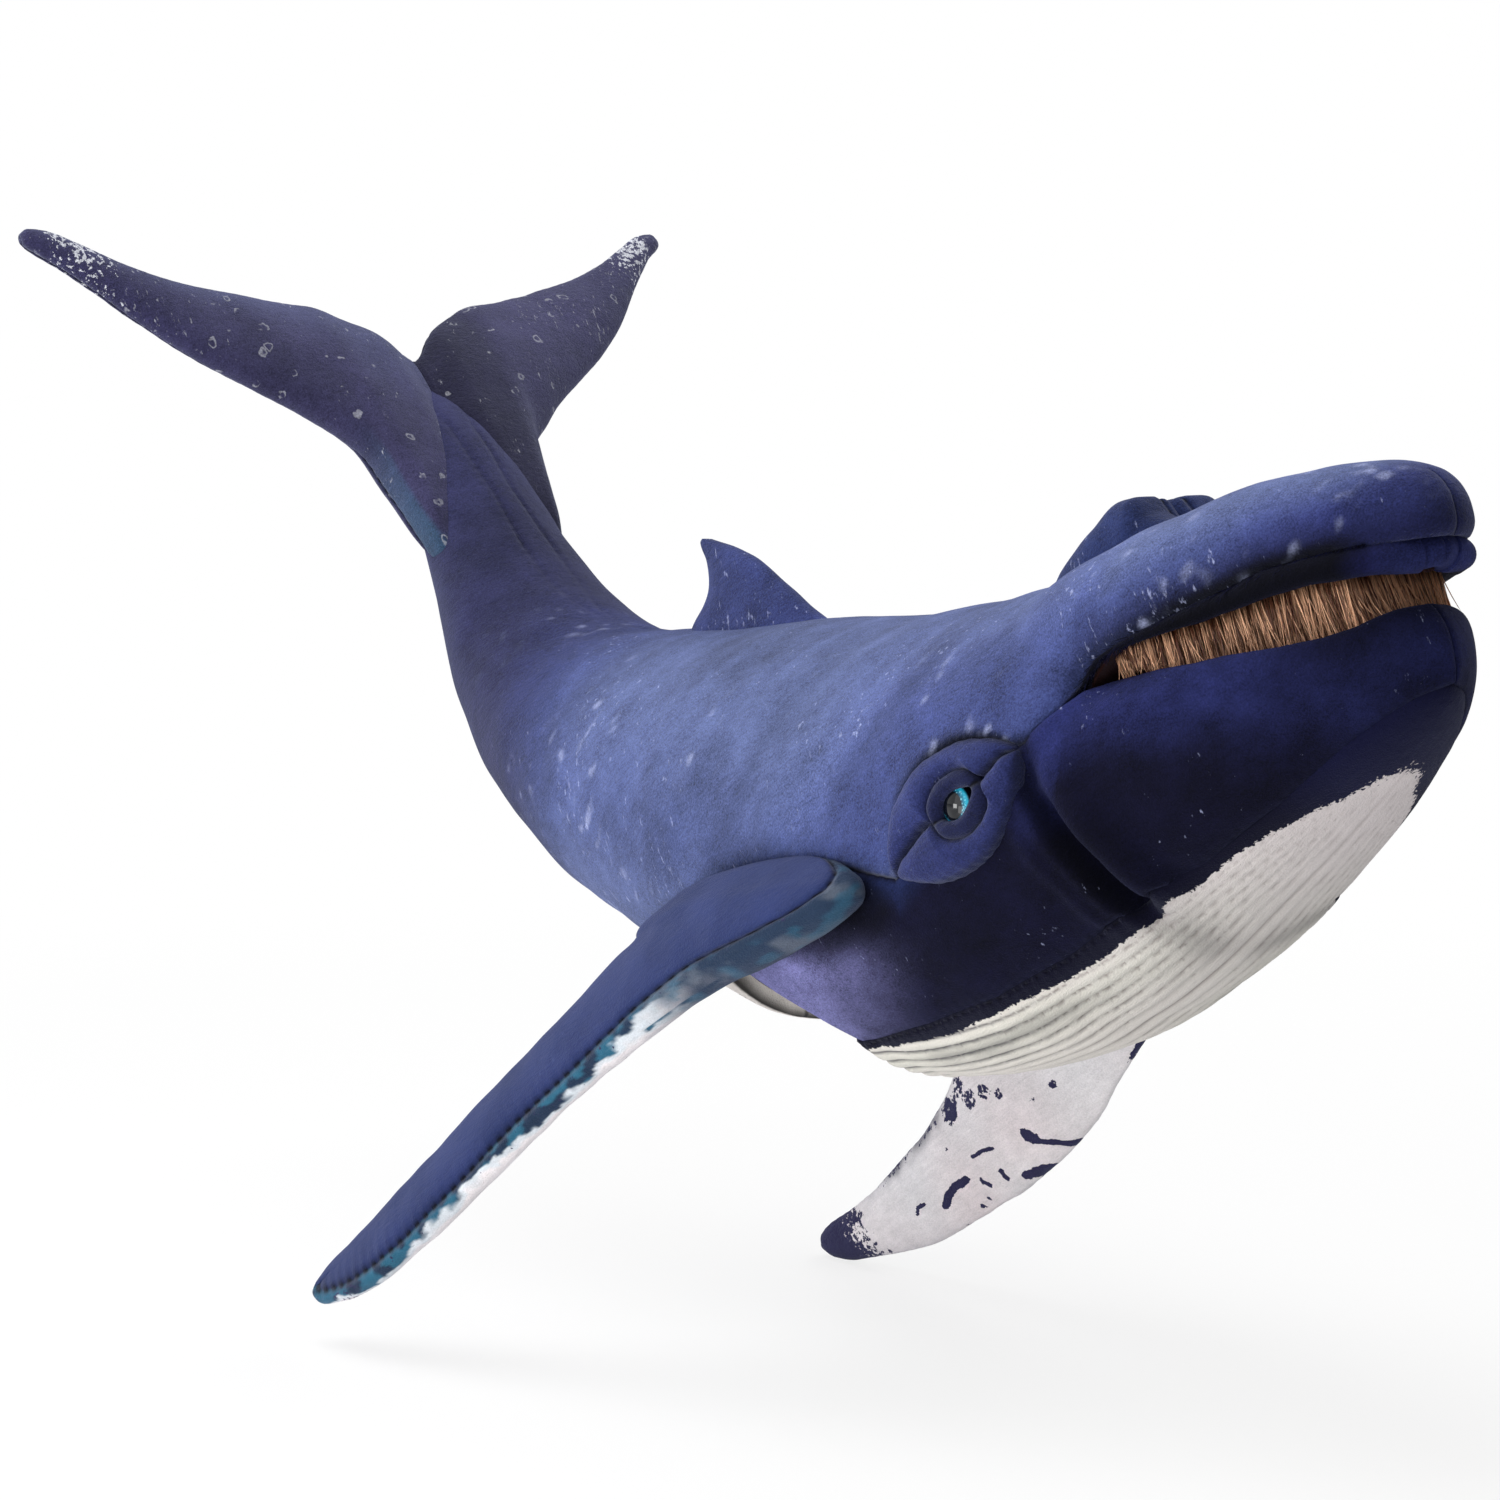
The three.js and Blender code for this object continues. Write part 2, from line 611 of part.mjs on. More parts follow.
/** Pleats run along the throat from the hem to the chin, closing up as the throat narrows. */
function pleatCutters() {
  const keel = interpolate(LOWER_HEAD, 60);
  const belly = interpolate(BODY, 120);
  const cutters = [];
  for (let k = 0; k < PLEATS; k += 1) {
    const share = -1 + (2 * (k + 0.5)) / PLEATS;
    const rings = [];
    for (let x = HEM_EDGE - 4; x <= 350; x += 30) {
      const near = (rows) => rows.reduce((a, b) => (Math.abs(b[0] - x) < Math.abs(a[0] - x) ? b : a));
      const row = x < 238 ? near(belly) : near(keel);
      const spread = THREE.MathUtils.lerp(50, 34, Math.max(0, (x - 200) / 150));
      const point = (shift, inset) => {
        const [, centre, , width, , down, power] = row;
        const angle = radians(270 + share * spread) + shift / down;
        const c = Math.cos(angle);
        const s = Math.sin(angle);
        const across = (width - inset) * Math.sign(c) * Math.abs(c) ** (2 / power);
        return new THREE.Vector3(x, across, centre - (down - inset) * Math.abs(s) ** (2 / power));
      };
      rings.push([point(-PLEAT_WIDTH, -1), point(PLEAT_WIDTH, -1), point(0, PLEAT_DEPTH)]);
    }
    cutters.push(throughRings(rings));
  }
  return cutters;
}

// Trunk: skin, stuffing and the lining that closes its front
const tailAhead = wedge(TAIL_HINGE, TAIL_TILT - 90, TAIL_TILT + 90);
const tailBehind = wedge(TAIL_HINGE, TAIL_TILT + 90, TAIL_TILT + 270);
const tailSpread = (TAIL_BEND + 2) / 2;
const tailCut = bowTie(TAIL_HINGE, TAIL_TILT, tailSpread, 1);
const trunkZone = tailAhead.intersect(slab(-400, BULKHEAD));
const outerBody = bodyForm(0);
const trunk = outerBody.intersect(trunkZone).subtract(tailCut);
const trunkRoom = (clear) => bodyForm(SKIN + clear, coarse).intersect(tailAhead)
  .subtract(bowTie(TAIL_HINGE, TAIL_TILT, tailSpread, 1 + SKIN + clear));
const eyes = Object.fromEntries(SIDES.map(([name, side]) => [name, eyeParts(side)]));
const sockets = SIDES.map(([, side]) => flipperSocket(side));
const clearSockets = (solid) => sockets.reduce((rest, socket) => rest.subtract(socket), solid);

add('trunk_skin', clearSockets(trunk.subtract(trunkRoom(0).intersect(slab(-400, BULKHEAD + 10)))), 'flank');
add('trunk_stuffing', trunkRoom(GAP).intersect(slab(-400, BULKHEAD - LINING - 2 * GAP)), 'stuffing');
add('trunk_bulkhead', trunkRoom(GAP).intersect(slab(BULKHEAD - LINING - GAP, BULKHEAD)), 'lining');

// Tail: stuffed stock, the fold that it bends at, and two flukes of two panels each
const stock = outerBody.intersect(tailBehind).subtract(tailCut);
add('tail_stock', stock, 'flank');
add('tail_fold', outerBody.intersect(bowTie(TAIL_HINGE, TAIL_TILT, tailSpread - 0.6, 1 - GAP)), 'flank');
const flukeUp = new THREE.Vector3(Math.cos(radians(FLUKE_TILT)), 0, Math.sin(radians(FLUKE_TILT)));
const flukeOut = new THREE.Vector3(flukeUp.z, 0, -flukeUp.x);
const stockRoom = bodyForm(-GAP);
SIDES.forEach(([name, side]) => {
  const frames = interpolate(FLUKE, 13).map(([out, lead, trail, thickness]) => {
    const centre = new THREE.Vector3(FLUKE_NOTCH[0], side * out, FLUKE_NOTCH[1]);
    centre.addScaledVector(flukeUp, (lead + trail) / 2);
    return { centre, chord: flukeUp, normal: flukeOut, width: trail - lead, thickness };
  });
  [['top', 1], ['under', -1]].forEach(([panel, face]) => {
    const solid = blade(frames, face, 7).subtract(stockRoom).intersect(half(side));
    add(`fluke_${name}_${panel}`, solid, 'fluke');
  });
});

// Dorsal fin
const finRings = interpolate(DORSAL_FIN, 9).map(([x, z, chord, thickness]) => (
  Array.from({ length: 14 }, (_, k) => {
    const angle = (2 * Math.PI * k) / 14;
    return new THREE.Vector3(x + (chord / 2) * Math.cos(angle), (thickness / 2) * Math.sin(angle), z);
  })
));
add('dorsal_fin', throughRings(finRings).subtract(stockRoom), 'flank');

// Head: the padded wall, parted along its seams
const outerHead = headForm(0);
const hollow = headForm(PADDING, coarse);
const eyeRooms = SIDES.map(([name]) => eyes[name].room);
let wall = outerHead.subtract(hollow).intersect(slab(BULKHEAD + GAP, 400));
wall = clearSockets(wall).subtract(ribbon(SIDE_SEAM)).subtract(ribbon(THROAT_SEAM));
wall = eyeRooms.reduce((rest, room) => rest.subtract(room), wall);
const belowSide = under([...SIDE_SEAM, [260, 32]]);
const belowThroat = under([[-60, -66], ...THROAT_SEAM]);
const neck = wall.intersect(neckZone);
const blowholeBed = headForm(-GAP);

add('back_panel', neck.subtract(belowSide), 'flank');
const cheeks = neck.intersect(belowSide).subtract(belowThroat).intersect(slab(BELLY_EDGE + GAP, 400));
SIDES.forEach(([name, side]) => add(`cheek_panel_${name}`, cheeks.intersect(half(side)), 'jowl'));
add('belly_panel', neck.intersect(belowSide).intersect(slab(0, BELLY_EDGE)), 'throat');
const pleats = pleatCutters();
const pleated = (solid) => pleats.reduce((rest, cutter) => rest.subtract(cutter), solid);
const throatRear = neck.intersect(belowThroat);
add('throat_panel_rear', pleated(throatRear.intersect(slab(HEM_EDGE, 400))), 'throat');
const hemWall = headForm(-1).subtract(headForm(HEM_WIDTH, coarse)).intersect(belowThroat)
  .intersect(slab(HEM_EDGE - HEM_WIDTH, HEM_EDGE - GAP));
add('throat_hem', hemWall, 'throat');
const foldWall = outerHead.subtract(hollow).intersect(foldZone).subtract(ribbon(THROAT_SEAM));
SIDES.forEach(([name, side]) => {
  add(`cheek_fold_${name}`, foldWall.subtract(belowThroat).intersect(half(side)), 'jowl');
});
add('throat_fold', foldWall.intersect(belowThroat), 'throat');

// Snout: nose cap, upper jaw, lip rolls, palate and baleen
const palatePoint = (x, drop = 0) => {
  const pitch = radians(UPPER_LIP_PITCH);
  return JAW_HINGE[1] + (x - JAW_HINGE[0]) * Math.tan(pitch) - drop / Math.cos(pitch);
};
const lipCurve = (side, clear) => {
  const points = [];
  for (let k = 0; k <= 8; k += 1) {
    const x = THREE.MathUtils.lerp(JAW_HINGE[0] + 12, tipOf(UPPER_HEAD) - 15, 1 - (1 - k / 8) ** 1.6);
    const z = palatePoint(x) + LIP_ROLL;
    points.push(new THREE.Vector3(x, side * Math.max(headWidth(x, z) - LIP_ROLL * 0.8, 1), z));
  }
  const last = points[points.length - 1];
  points.push(new THREE.Vector3(last.x + 2, 0, last.z + 1));
  const curve = new THREE.CatmullRomCurve3(points);
  const shape = new THREE.Shape().absarc(0, 0, LIP_ROLL + clear, 0, 2 * Math.PI);
  return solidOf(new THREE.ExtrudeGeometry(shape, {
    steps: 12, curveSegments: 5, extrudePath: curve, bevelEnabled: false,
  }));
};
const noseLean = Math.tan(radians(NOSE_LEAN));
const noseSeam = tipOf(UPPER_HEAD) - NOSE_CAP_LENGTH;
const noseLine = [[noseSeam + 60 * noseLean, 30], [noseSeam - 60 * noseLean, 150]];
const noseZone = prism([noseLine[0], [500, 30], [500, 150], noseLine[1]]);
let snout = wall.intersect(snoutZone).subtract(ribbon(noseLine));
snout = SIDES.reduce((rest, [, side]) => rest.subtract(lipCurve(side, GAP)), snout);
add('upper_jaw', snout.subtract(noseZone), 'flank');
add('nose_cap', snout.intersect(noseZone), 'flank');
const palateSlab = wedge(JAW_HINGE, UPPER_LIP_PITCH, 90, GAP / 2).subtract(
  prism([[0, palatePoint(0) + PANEL], [500, palatePoint(500) + PANEL], [500, 900], [0, 900]]),
);
const palateForm = headForm(PADDING + GAP + 1, coarse).intersect(palateSlab)
  .intersect(slab(JAW_HINGE[0] + 4, 400));
add('palate', SIDES.reduce((rest, [, side]) => rest.subtract(lipCurve(side, GAP)), palateForm), 'lining');
SIDES.forEach(([name, side]) => {
  add(`upper_lip_${name}`, lipCurve(side, 0).intersect(half(side)), 'lining');
});

/** A row of parallel three-sided strands, rooted in their slice of the backing. */
function baleen(places, strands) {
  const pitch = radians(UPPER_LIP_PITCH);
  const up = new THREE.Vector3(-Math.sin(pitch), 0, Math.cos(pitch));
  const curve = new THREE.CatmullRomCurve3(places.map(([x, y]) => (
    new THREE.Vector3(x, y, palatePoint(x, GAP + BALEEN_BACKING / 2))
  )), false, 'centripetal');
  const strip = (out, from, to) => Array.from({ length: 15 }, (_, i) => {
    const t = i / 14;
    const side = new THREE.Vector3().crossVectors(curve.getTangentAt(t), up).normalize();
    const at = (sideways, height) => curve.getPointAt(t).clone()
      .addScaledVector(side, sideways).addScaledVector(up, height);
    return [at(-out, from), at(out, from), at(out, to), at(-out, to)];
  });
  let solid = throughRings(strip(BALEEN_BACKING / 2, -BALEEN_BACKING / 2, BALEEN_BACKING / 2));
  const rows = [];
  for (let k = 0; k < strands; k += 1) {
    const t = (k + 0.5) / strands;
    const root = curve.getPointAt(t);
    const side = new THREE.Vector3().crossVectors(curve.getTangentAt(t), up).normalize();
    const sway = (k % 2 === 0 ? -0.8 : 0.8);
    const length = STRAND_LENGTH * (0.86 + 0.14 * Math.sin(2.4 * k) ** 2);
    const ring = (height, radius) => Array.from({ length: 3 }, (_, j) => {
      const angle = (2 * Math.PI * j) / 3 + 0.5;
      const along = curve.getTangentAt(t);
      return root.clone().addScaledVector(up, height)
        .addScaledVector(side, sway + radius * Math.cos(angle))
        .addScaledVector(along, radius * Math.sin(angle));
    });
    rows.push(strand([ring(0, STRAND_WIDTH), ring(-length, STRAND_WIDTH * 0.6)]));
  }
  return rows.reduce((whole, one) => whole.add(one), solid);
}

/** A closed three-sided strand between two triangles. */
function strand([root, tip]) {
  const geometry = new THREE.BufferGeometry();
  const positions = [...root, ...tip].flatMap((p) => [p.x, p.y, p.z]);
  geometry.setAttribute('position', new THREE.Float32BufferAttribute(positions, 3));
  geometry.setIndex([0, 1, 4, 0, 4, 3, 1, 2, 5, 1, 5, 4, 2, 0, 3, 2, 3, 5, 0, 2, 1, 3, 4, 5]);
  return solidOf(geometry);
}

const frontFrom = BALEEN_LINE.length - 3;
const mirrored = (line) => line.map(([x, y]) => [x, -y]);
const sideLine = BALEEN_LINE.slice(0, frontFrom + 1);
const frontLine = BALEEN_LINE.slice(frontFrom);
add('baleen_right', baleen(mirrored(sideLine), STRANDS_A_SIDE), 'baleen');
add('baleen_left', baleen(sideLine, STRANDS_A_SIDE), 'baleen');
const roundFront = [...frontLine, ...mirrored(frontLine.slice(0, -1)).reverse()];
const frontGap = roundFront.map(([x, y], i) => (
  i === 0 || i === roundFront.length - 1 ? [x + 1.6, y - Math.sign(y) * 2.2] : [x, y]
));
add('baleen_front', baleen(frontGap, STRANDS_FRONT), 'baleen');

// Blowhole ridge: two stuffed lobes with the slit between them
SIDES.forEach(([name, side]) => {
  const lobe = loft(BLOWHOLE, 0, 9, 12).translate([0, side * BLOWHOLE_OUT, 0]);
  add(`blowhole_lobe_${name}`, lobe.intersect(half(side)).subtract(blowholeBed), 'flank');
});

// Eyes
SIDES.forEach(([name, side]) => {
  const { eye, washer, lid, upper, lower } = eyes[name];
  const bed = headForm(-GAP);
  const eyeRoom = turned(EYE_CENTRE, widthAt(BODY, ...EYE_CENTRE), side, [
    [0, -20], [EYE_RADIUS + GAP, -20], [EYE_RADIUS + GAP, 20], [0, 20],
  ]);
  add(`eye_${name}`, eye, 'eye');
  add(`eye_washer_${name}`, washer, 'washer');
  add(`eyelid_ring_${name}`, lid.subtract(bed).subtract(eyeRoom), 'flank');
  add(`eye_crescent_upper_${name}`, upper.subtract(bed), 'flank');
  add(`eye_crescent_lower_${name}`, lower.subtract(bed), 'flank');
});

// Lower jaw: two sides that meet at the chin, pleated throat, and the mouth floor
const jawWall = wall.intersect(jawZone);
SIDES.forEach(([name, side]) => {
  add(`jaw_panel_${name}`, jawWall.subtract(belowThroat).intersect(half(side)), 'jowl');
});
add('throat_panel_front', pleated(jawWall.intersect(belowThroat)), 'throat');
const floorAt = (depth) => {
  const pitch = radians(LOWER_LIP_PITCH);
  const drop = depth / Math.cos(pitch);
  return [0, 500].map((x) => [x, JAW_HINGE[1] + (x - JAW_HINGE[0]) * Math.tan(pitch) - drop]);
};
const floorSlab = under(floorAt(TROUGH)).subtract(under(floorAt(TROUGH + PANEL)));
add('mouth_floor', headForm(PADDING + GAP + 1, coarse).intersect(jawZone).intersect(floorSlab), 'lining');

// Flippers of two panels each
[['right', -1, FLIPPER_RIGHT, FLIPPER_DROOP_RIGHT], ['left', 1, FLIPPER_LEFT, FLIPPER_DROOP_LEFT]]
  .forEach(([name, side, rows, droop]) => {
    const frames = flipperFrames(rows, side, droop);
    add(`flipper_${name}_top`, blade(frames, 1), 'jowl');
    add(`flipper_${name}_under`, blade(frames, -1), 'throat');
  });

whale.position.set(-HAND_OPENING[0], 0, -HAND_OPENING[1]);
whale.updateMatrixWorld(true);

export default whale;
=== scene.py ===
"""Humpback whale hand puppet: sewn velour skins, stuffed limbs, glass eyes and bristle baleen.

Outlines are in millimetres, in a frame with x towards the snout, y towards the whale's left and
z up. in_row() takes them to the part's own frame in metres.
"""
import logging
import math
from dataclasses import dataclass
from enum import Enum
from typing import Callable, Sequence

import bpy
import numpy as np
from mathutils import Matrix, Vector


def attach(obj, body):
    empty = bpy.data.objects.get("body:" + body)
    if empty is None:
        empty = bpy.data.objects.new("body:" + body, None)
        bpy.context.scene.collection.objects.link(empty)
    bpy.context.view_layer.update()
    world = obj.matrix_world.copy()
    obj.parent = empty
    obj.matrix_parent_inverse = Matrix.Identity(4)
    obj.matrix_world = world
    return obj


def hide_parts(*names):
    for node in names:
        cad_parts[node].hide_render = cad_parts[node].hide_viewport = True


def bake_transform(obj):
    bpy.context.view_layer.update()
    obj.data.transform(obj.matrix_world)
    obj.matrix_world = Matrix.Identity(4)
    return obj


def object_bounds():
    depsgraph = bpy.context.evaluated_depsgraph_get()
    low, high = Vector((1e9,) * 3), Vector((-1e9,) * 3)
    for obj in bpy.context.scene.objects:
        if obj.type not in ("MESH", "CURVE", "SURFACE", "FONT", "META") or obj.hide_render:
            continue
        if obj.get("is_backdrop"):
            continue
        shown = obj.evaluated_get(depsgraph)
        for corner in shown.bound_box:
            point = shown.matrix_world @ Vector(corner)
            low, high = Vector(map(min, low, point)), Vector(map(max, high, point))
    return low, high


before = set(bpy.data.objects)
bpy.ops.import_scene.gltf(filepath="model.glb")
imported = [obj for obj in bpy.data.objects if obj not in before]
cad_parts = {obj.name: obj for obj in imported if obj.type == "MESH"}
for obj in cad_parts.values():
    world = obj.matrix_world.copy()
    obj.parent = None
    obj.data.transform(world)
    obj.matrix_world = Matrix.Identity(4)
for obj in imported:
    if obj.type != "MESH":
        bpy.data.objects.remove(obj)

CAD_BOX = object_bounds()
LOG = logging.getLogger("whale")
Array = np.ndarray
Field = Callable[[Array], Array]
Rows = Sequence[Sequence[float]]
Piece = bpy.types.Object
Material = bpy.types.Material
Socket = bpy.types.NodeSocket
Tree = bpy.types.NodeTree
Velours = dict[str, Material]

ROOT = "trunk_and_head"
SIDES = (("right", -1), ("left", 1))
NO_SEAM = 99.0
CLOTH_FRAMES = 20

ORIGIN = np.array([98.0, 0.0, -88.0])
BULKHEAD = 22.0
BELLY_EDGE = 60.0
HEM_EDGE = 136.0
EYE_MIDDLE = (216, 4)
EYE_TURN = 43

# Rows of a trunk: x, z, tilt in degrees, half width, height up, height down and power.
BODY = [
    [-221, 132, -50, 6, 4, 4, 2], [-214, 123, -51, 15, 10, 10, 2], [-195, 99, -51, 25, 17, 17, 2],
    [-165, 62, -50, 32, 25, 25, 2], [-134, 27, -44, 42, 36, 36, 2], [-98, 4, -30, 52, 46, 47, 2],
    [-54, -10, -14, 62, 56, 55, 2.05], [0, -16, -4, 72, 64, 66, 2.1], [50, -20, 0, 80, 74, 76, 2.15],
    [105, -22, 0, 85, 80, 84, 2.2], [150, -18, 0, 87, 83, 87, 2.25], [200, -6, 0, 84, 83, 84, 2.3],
    [244, 10, 0, 74, 82, 72, 2.35], [266, 20, 0, 58, 66, 56, 2.4],
]
UPPER_HEAD = [
    [196, 40, 0, 56, 31, 40, 2.3], [234, 54, 0, 64, 38, 46, 2.3], [268, 70, 0, 61, 36, 46, 2.4],
    [305, 84, 0, 48, 33, 40, 2.5], [335, 93, 0, 34, 29, 31, 2.5], [353, 96, 0, 20, 24, 21, 2.4],
    [363, 97, 0, 11, 15, 12, 2.1], [366, 97, 0, 3, 5, 4, 2],
]
LOWER_HEAD = [
    [210, 6, 0, 76, 30, 90, 2.4], [236, 16, 0, 74, 30, 86, 2.4], [262, 26, 0, 69, 30, 78, 2.5],
    [290, 38, 0, 61, 30, 66, 2.5], [318, 48, 0, 50, 30, 52, 2.4], [340, 55, 0, 36, 28, 38, 2.3],
    [353, 56, 0, 23, 22, 25, 2.2], [361, 56, 0, 12, 14, 14, 2.1], [365, 55, 0, 3, 4, 5, 2],
]
# Lines in the middle plane: x and z.
SIDE_SEAM = [[0, -64], [62, -47], [102, -30], [127, -24], [150, -22], [187, -24]]
UPPER_LIP = [
    [240, 26], [246, 33], [252, 41], [256, 48], [262, 55], [278, 64], [297, 74], [309, 80],
    [320, 86], [332, 90], [345, 94], [356, 97], [366, 99], [400, 100],
]
LOWER_LIP = [
    [240, 26], [246, 33], [252, 40], [257, 45], [263, 48], [270, 51], [282, 54], [299, 57],
    [310, 60], [326, 63], [339, 66.5], [346, 70], [352, 76], [358, 80], [400, 84],
]
THROAT_SEAM = np.array([
    [60, -67], [84, -69], [117, -82], [135, -91], [177, -78], [212, -64], [240, -48], [267, -30],
    [295, -11], [321, 10], [342, 30], [360, 47], [380, 62]], float)
PRINT_EDGE = np.array([
    [130, -94], [159, -87], [185, -80], [208, -70], [235, -56], [255, -44], [275, -29],
    [290, -18], [305, -5.5], [321, 5], [334, 14], [345, 22], [352, 28], [370, 45]], float)
# Lines on the right flank: x, y and z.
CREASE = np.array([
    [243, -76, 24], [244, -72, 12], [251, -70, 2], [257, -67, -6], [263, -63, -13],
    [268, -57, -21], [272, -49, -27], [274, -40, -32], [275, -29, -37], [271, -13, -44]], float)
STOCK_SEAM = np.array([
    [-207, -9, 131], [-193, -6, 119], [-182, -6, 110], [-163, -5, 93], [-142, -7, 74],
    [-119, -7, 59], [-100, -3, 50], [-65, 0, 43]], float)
# Rows of a flipper: along the root, out from it, width, thickness and rake in degrees.
FLIPPER_RIGHT = [
    [9, -19, 50, 8, 0], [8, -15, 84, 17, 0], [7, -7, 114, 24, 0], [3, 0, 124, 29, 0],
    [-5, 6, 112, 28, 4], [-32, 15, 71, 24, 16], [-58, 28, 50, 22, 36], [-83, 44, 43, 20, 52],
    [-111, 64, 41, 19, 56], [-141, 88, 41, 18, 58], [-170, 109, 38, 16, 60],
    [-191, 121, 30, 13, 60], [-203, 126, 22, 11, 60], [-210, 129, 14, 8, 60],
    [-214, 130, 5, 4, 60],
]
FLIPPER_LEFT = [
    [0, -14, 80, 10, 0], [-1, -7, 104, 24, 0], [-3, 0, 112, 27, 0], [-9, 14, 104, 21, 8],
    [-28, 33, 86, 19, 19], [-52, 51, 74, 19, 28], [-74, 72, 68, 19, 37], [-97, 90, 55, 19, 46],
    [-124, 104, 43, 18, 55], [-152, 115, 36, 16, 62], [-180, 123, 26, 13, 65],
    [-202, 127, 20, 11, 67], [-212, 128.5, 13, 9, 68], [-217, 129, 4, 4, 68],
]
# Rows of a fluke: out from the notch, leading edge, trailing edge and thickness.
FLUKE = [
    [0, -84, -10, 9], [5, -97, -6, 15], [16, -112, 6, 26], [28, -114, 13, 27], [35, -88, 17, 26],
    [41, -60, 19, 25], [55, -44, 21, 23], [79, -24, 27, 20], [102, -7, 34, 17],
    [122, 13, 43, 14], [138, 32, 53, 12], [151, 45, 60, 10], [158, 51, 61, 8],
    [161, 54, 59, 4],
]
# Rows of the fin: x, z, width and thickness. The rows of a lobe are those of a trunk.
DORSAL_FIN = [
    [14, 30, 104, 22], [13, 44, 96, 19], [8, 54, 72, 15], [0, 63, 50, 12], [-8, 71, 38, 9],
    [-17, 76, 26, 7], [-23, 78.5, 16, 5], [-27, 80, 5, 3],
]
BLOWHOLE = [
    [190, 71, 0, 4, 3, 8, 2], [198, 74, 0, 9, 8.5, 10, 2.4], [206, 76.5, 0, 11.5, 12.5, 12, 3],
    [216, 79.5, 0, 13, 17, 13, 3.6], [227, 83, 0, 13, 22.5, 13, 4], [232, 84.5, 0, 13, 22, 13, 4],
    [241, 89, 0, 11, 12, 12, 3.4], [250, 93, 0, 8, 7, 9, 2.6], [262, 98, 0, 4, 5, 5, 2],
]


class Ink(Enum):
    """Dyes of the cloth, as display colours; some also carry painted light or shade, as noted."""

    BACK = (81, 92, 133)
    MIST = (91, 103, 146)
    FLANK = (70, 81, 126)
    REAR = (46, 54, 104)
    STOCK = (40, 41, 72)
    HEAD = (59, 69, 120)
    SNOUT = (47, 54, 107)
    NOSE = (18, 20, 54)
    # Dark navy of the jaw, made darker still as painted shade.
    JAW = (8, 8, 27)
    # Painted highlight for the jaw's upper edge and front.
    LIP = (32, 37, 82)
    # Painted shadow inside the mouth.
    GAP = (3, 3, 9)
    LOBE = (36, 46, 86)
    # Dark navy of the cheeks, made darker still as painted shade; also the navy of printed bands.
    CHEEK = (9, 9, 29)
    # Painted light for the lower rear of the cheek.
    CHEEK_LOW = (118, 118, 168)
    WHITE = (226, 220, 214)
    # A pinker white, partly painted shade.
    DIM = (198, 190, 192)
    SAGE = (184, 188, 170)
    FLUKE = (55, 53, 84)
    FIN = (50, 58, 104)
    PATCH = (35, 41, 84)
    LID = (22, 26, 57)
    FLIPPER = (29, 40, 80)
    DEEP = (30, 38, 60)
    TEAL = (42, 92, 116)
    FOAM = (206, 212, 218)
    PALE = (232, 226, 228)
    NAVY = (44, 42, 74)
    CHALK = (196, 198, 206)
    MOON = (176, 184, 222)
    LINING = (34, 30, 48)
    GUM = (46, 24, 22)

    @property
    def rgb(self) -> Array:
        """The dye in scene-linear light."""
        share = np.array(self.value, float) / 255
        return np.where(share <= 0.04045, share / 12.92, ((share + 0.055) / 1.055) ** 2.4)


def smooth(low: float, high: float, values: Array) -> Array:
    """Smoothstep from 0 at low to 1 at high."""
    share = np.clip((np.asarray(values, float) - low) / (high - low), 0, 1)
    return share * share * (3 - 2 * share)


def hump(values: Array, middle: float, width: float) -> Array:
    """A bell: exp(-((value - middle) / width)^2)."""
    return np.exp(-(((values - middle) / width) ** 2))


def in_row(points: Array) -> Array:
    """Outline millimetres as row-frame metres."""
    return (np.asarray(points, float) - ORIGIN) / 1000


def lumps(points: Array, size: float | Sequence[float], seed: int = 0) -> Array:
    """Value noise from -1 to 1: random numbers at lattice corners, eased in between.

    Args:
        points: Places as (n, 3).
        size: Lattice spacing, one number or one for each axis.
        seed: Picks another lattice.
    """
    place = points / np.broadcast_to(np.asarray(size, float), (3,))
    corner = np.floor(place).astype(np.int64)
    share = place - corner
    share = share * share * (3 - 2 * share)
    total = np.zeros(len(points))
    for step in np.ndindex(2, 2, 2):
        at = corner + np.array(step)
        mixed = (at[:, 0] * 374761393 + at[:, 1] * 668265263 + at[:, 2] * 1440662683
                 + seed * 974711) & 0xFFFFFFFF
        mixed = ((mixed ^ (mixed >> 13)) * 1274126177) & 0xFFFFFFFF
        value = ((mixed ^ (mixed >> 16)) & 0xFFFF) / 32767.5 - 1
        total += value * np.prod(np.where(step, share, 1 - share), axis=1)
    return total


def unit(vectors: Array) -> Array:
    """Vectors at length 1."""
    return vectors / np.maximum(np.linalg.norm(vectors, axis=-1, keepdims=True), 1e-9)


def lengths(line: Array) -> Array:
    """Length along a line up to each of its points."""
    return np.concatenate([[0], np.cumsum(np.linalg.norm(np.diff(line, axis=0), axis=1))])


def column(table: Array, x: Array, number: int = 1) -> Array:
    """A column of a table, read at places of its first column."""
    return np.interp(x, table[:, 0], table[:, number])


def along_path(path: Array, places: Array, at: Array) -> Array:
    """Points of a path, whose own points lie at the given places."""
    return np.stack([np.interp(at, places, path[:, axis]) for axis in range(3)], 1)


def slopes(place: Array, values: Array) -> Array:
    """Monotone slopes: the harmonic mean of the steps on both sides, 0 where they disagree."""
    step = np.diff(values, axis=0) / np.diff(place)[:, None]
    inner = np.zeros_like(values)
    inner[0], inner[-1] = step[0], step[-1]
    before, after = step[:-1], step[1:]
    total = np.where(before * after > 0, before + after, 1)
    inner[1:-1] = np.where(before * after > 0, 2 * before * after / total, 0)
    return inner


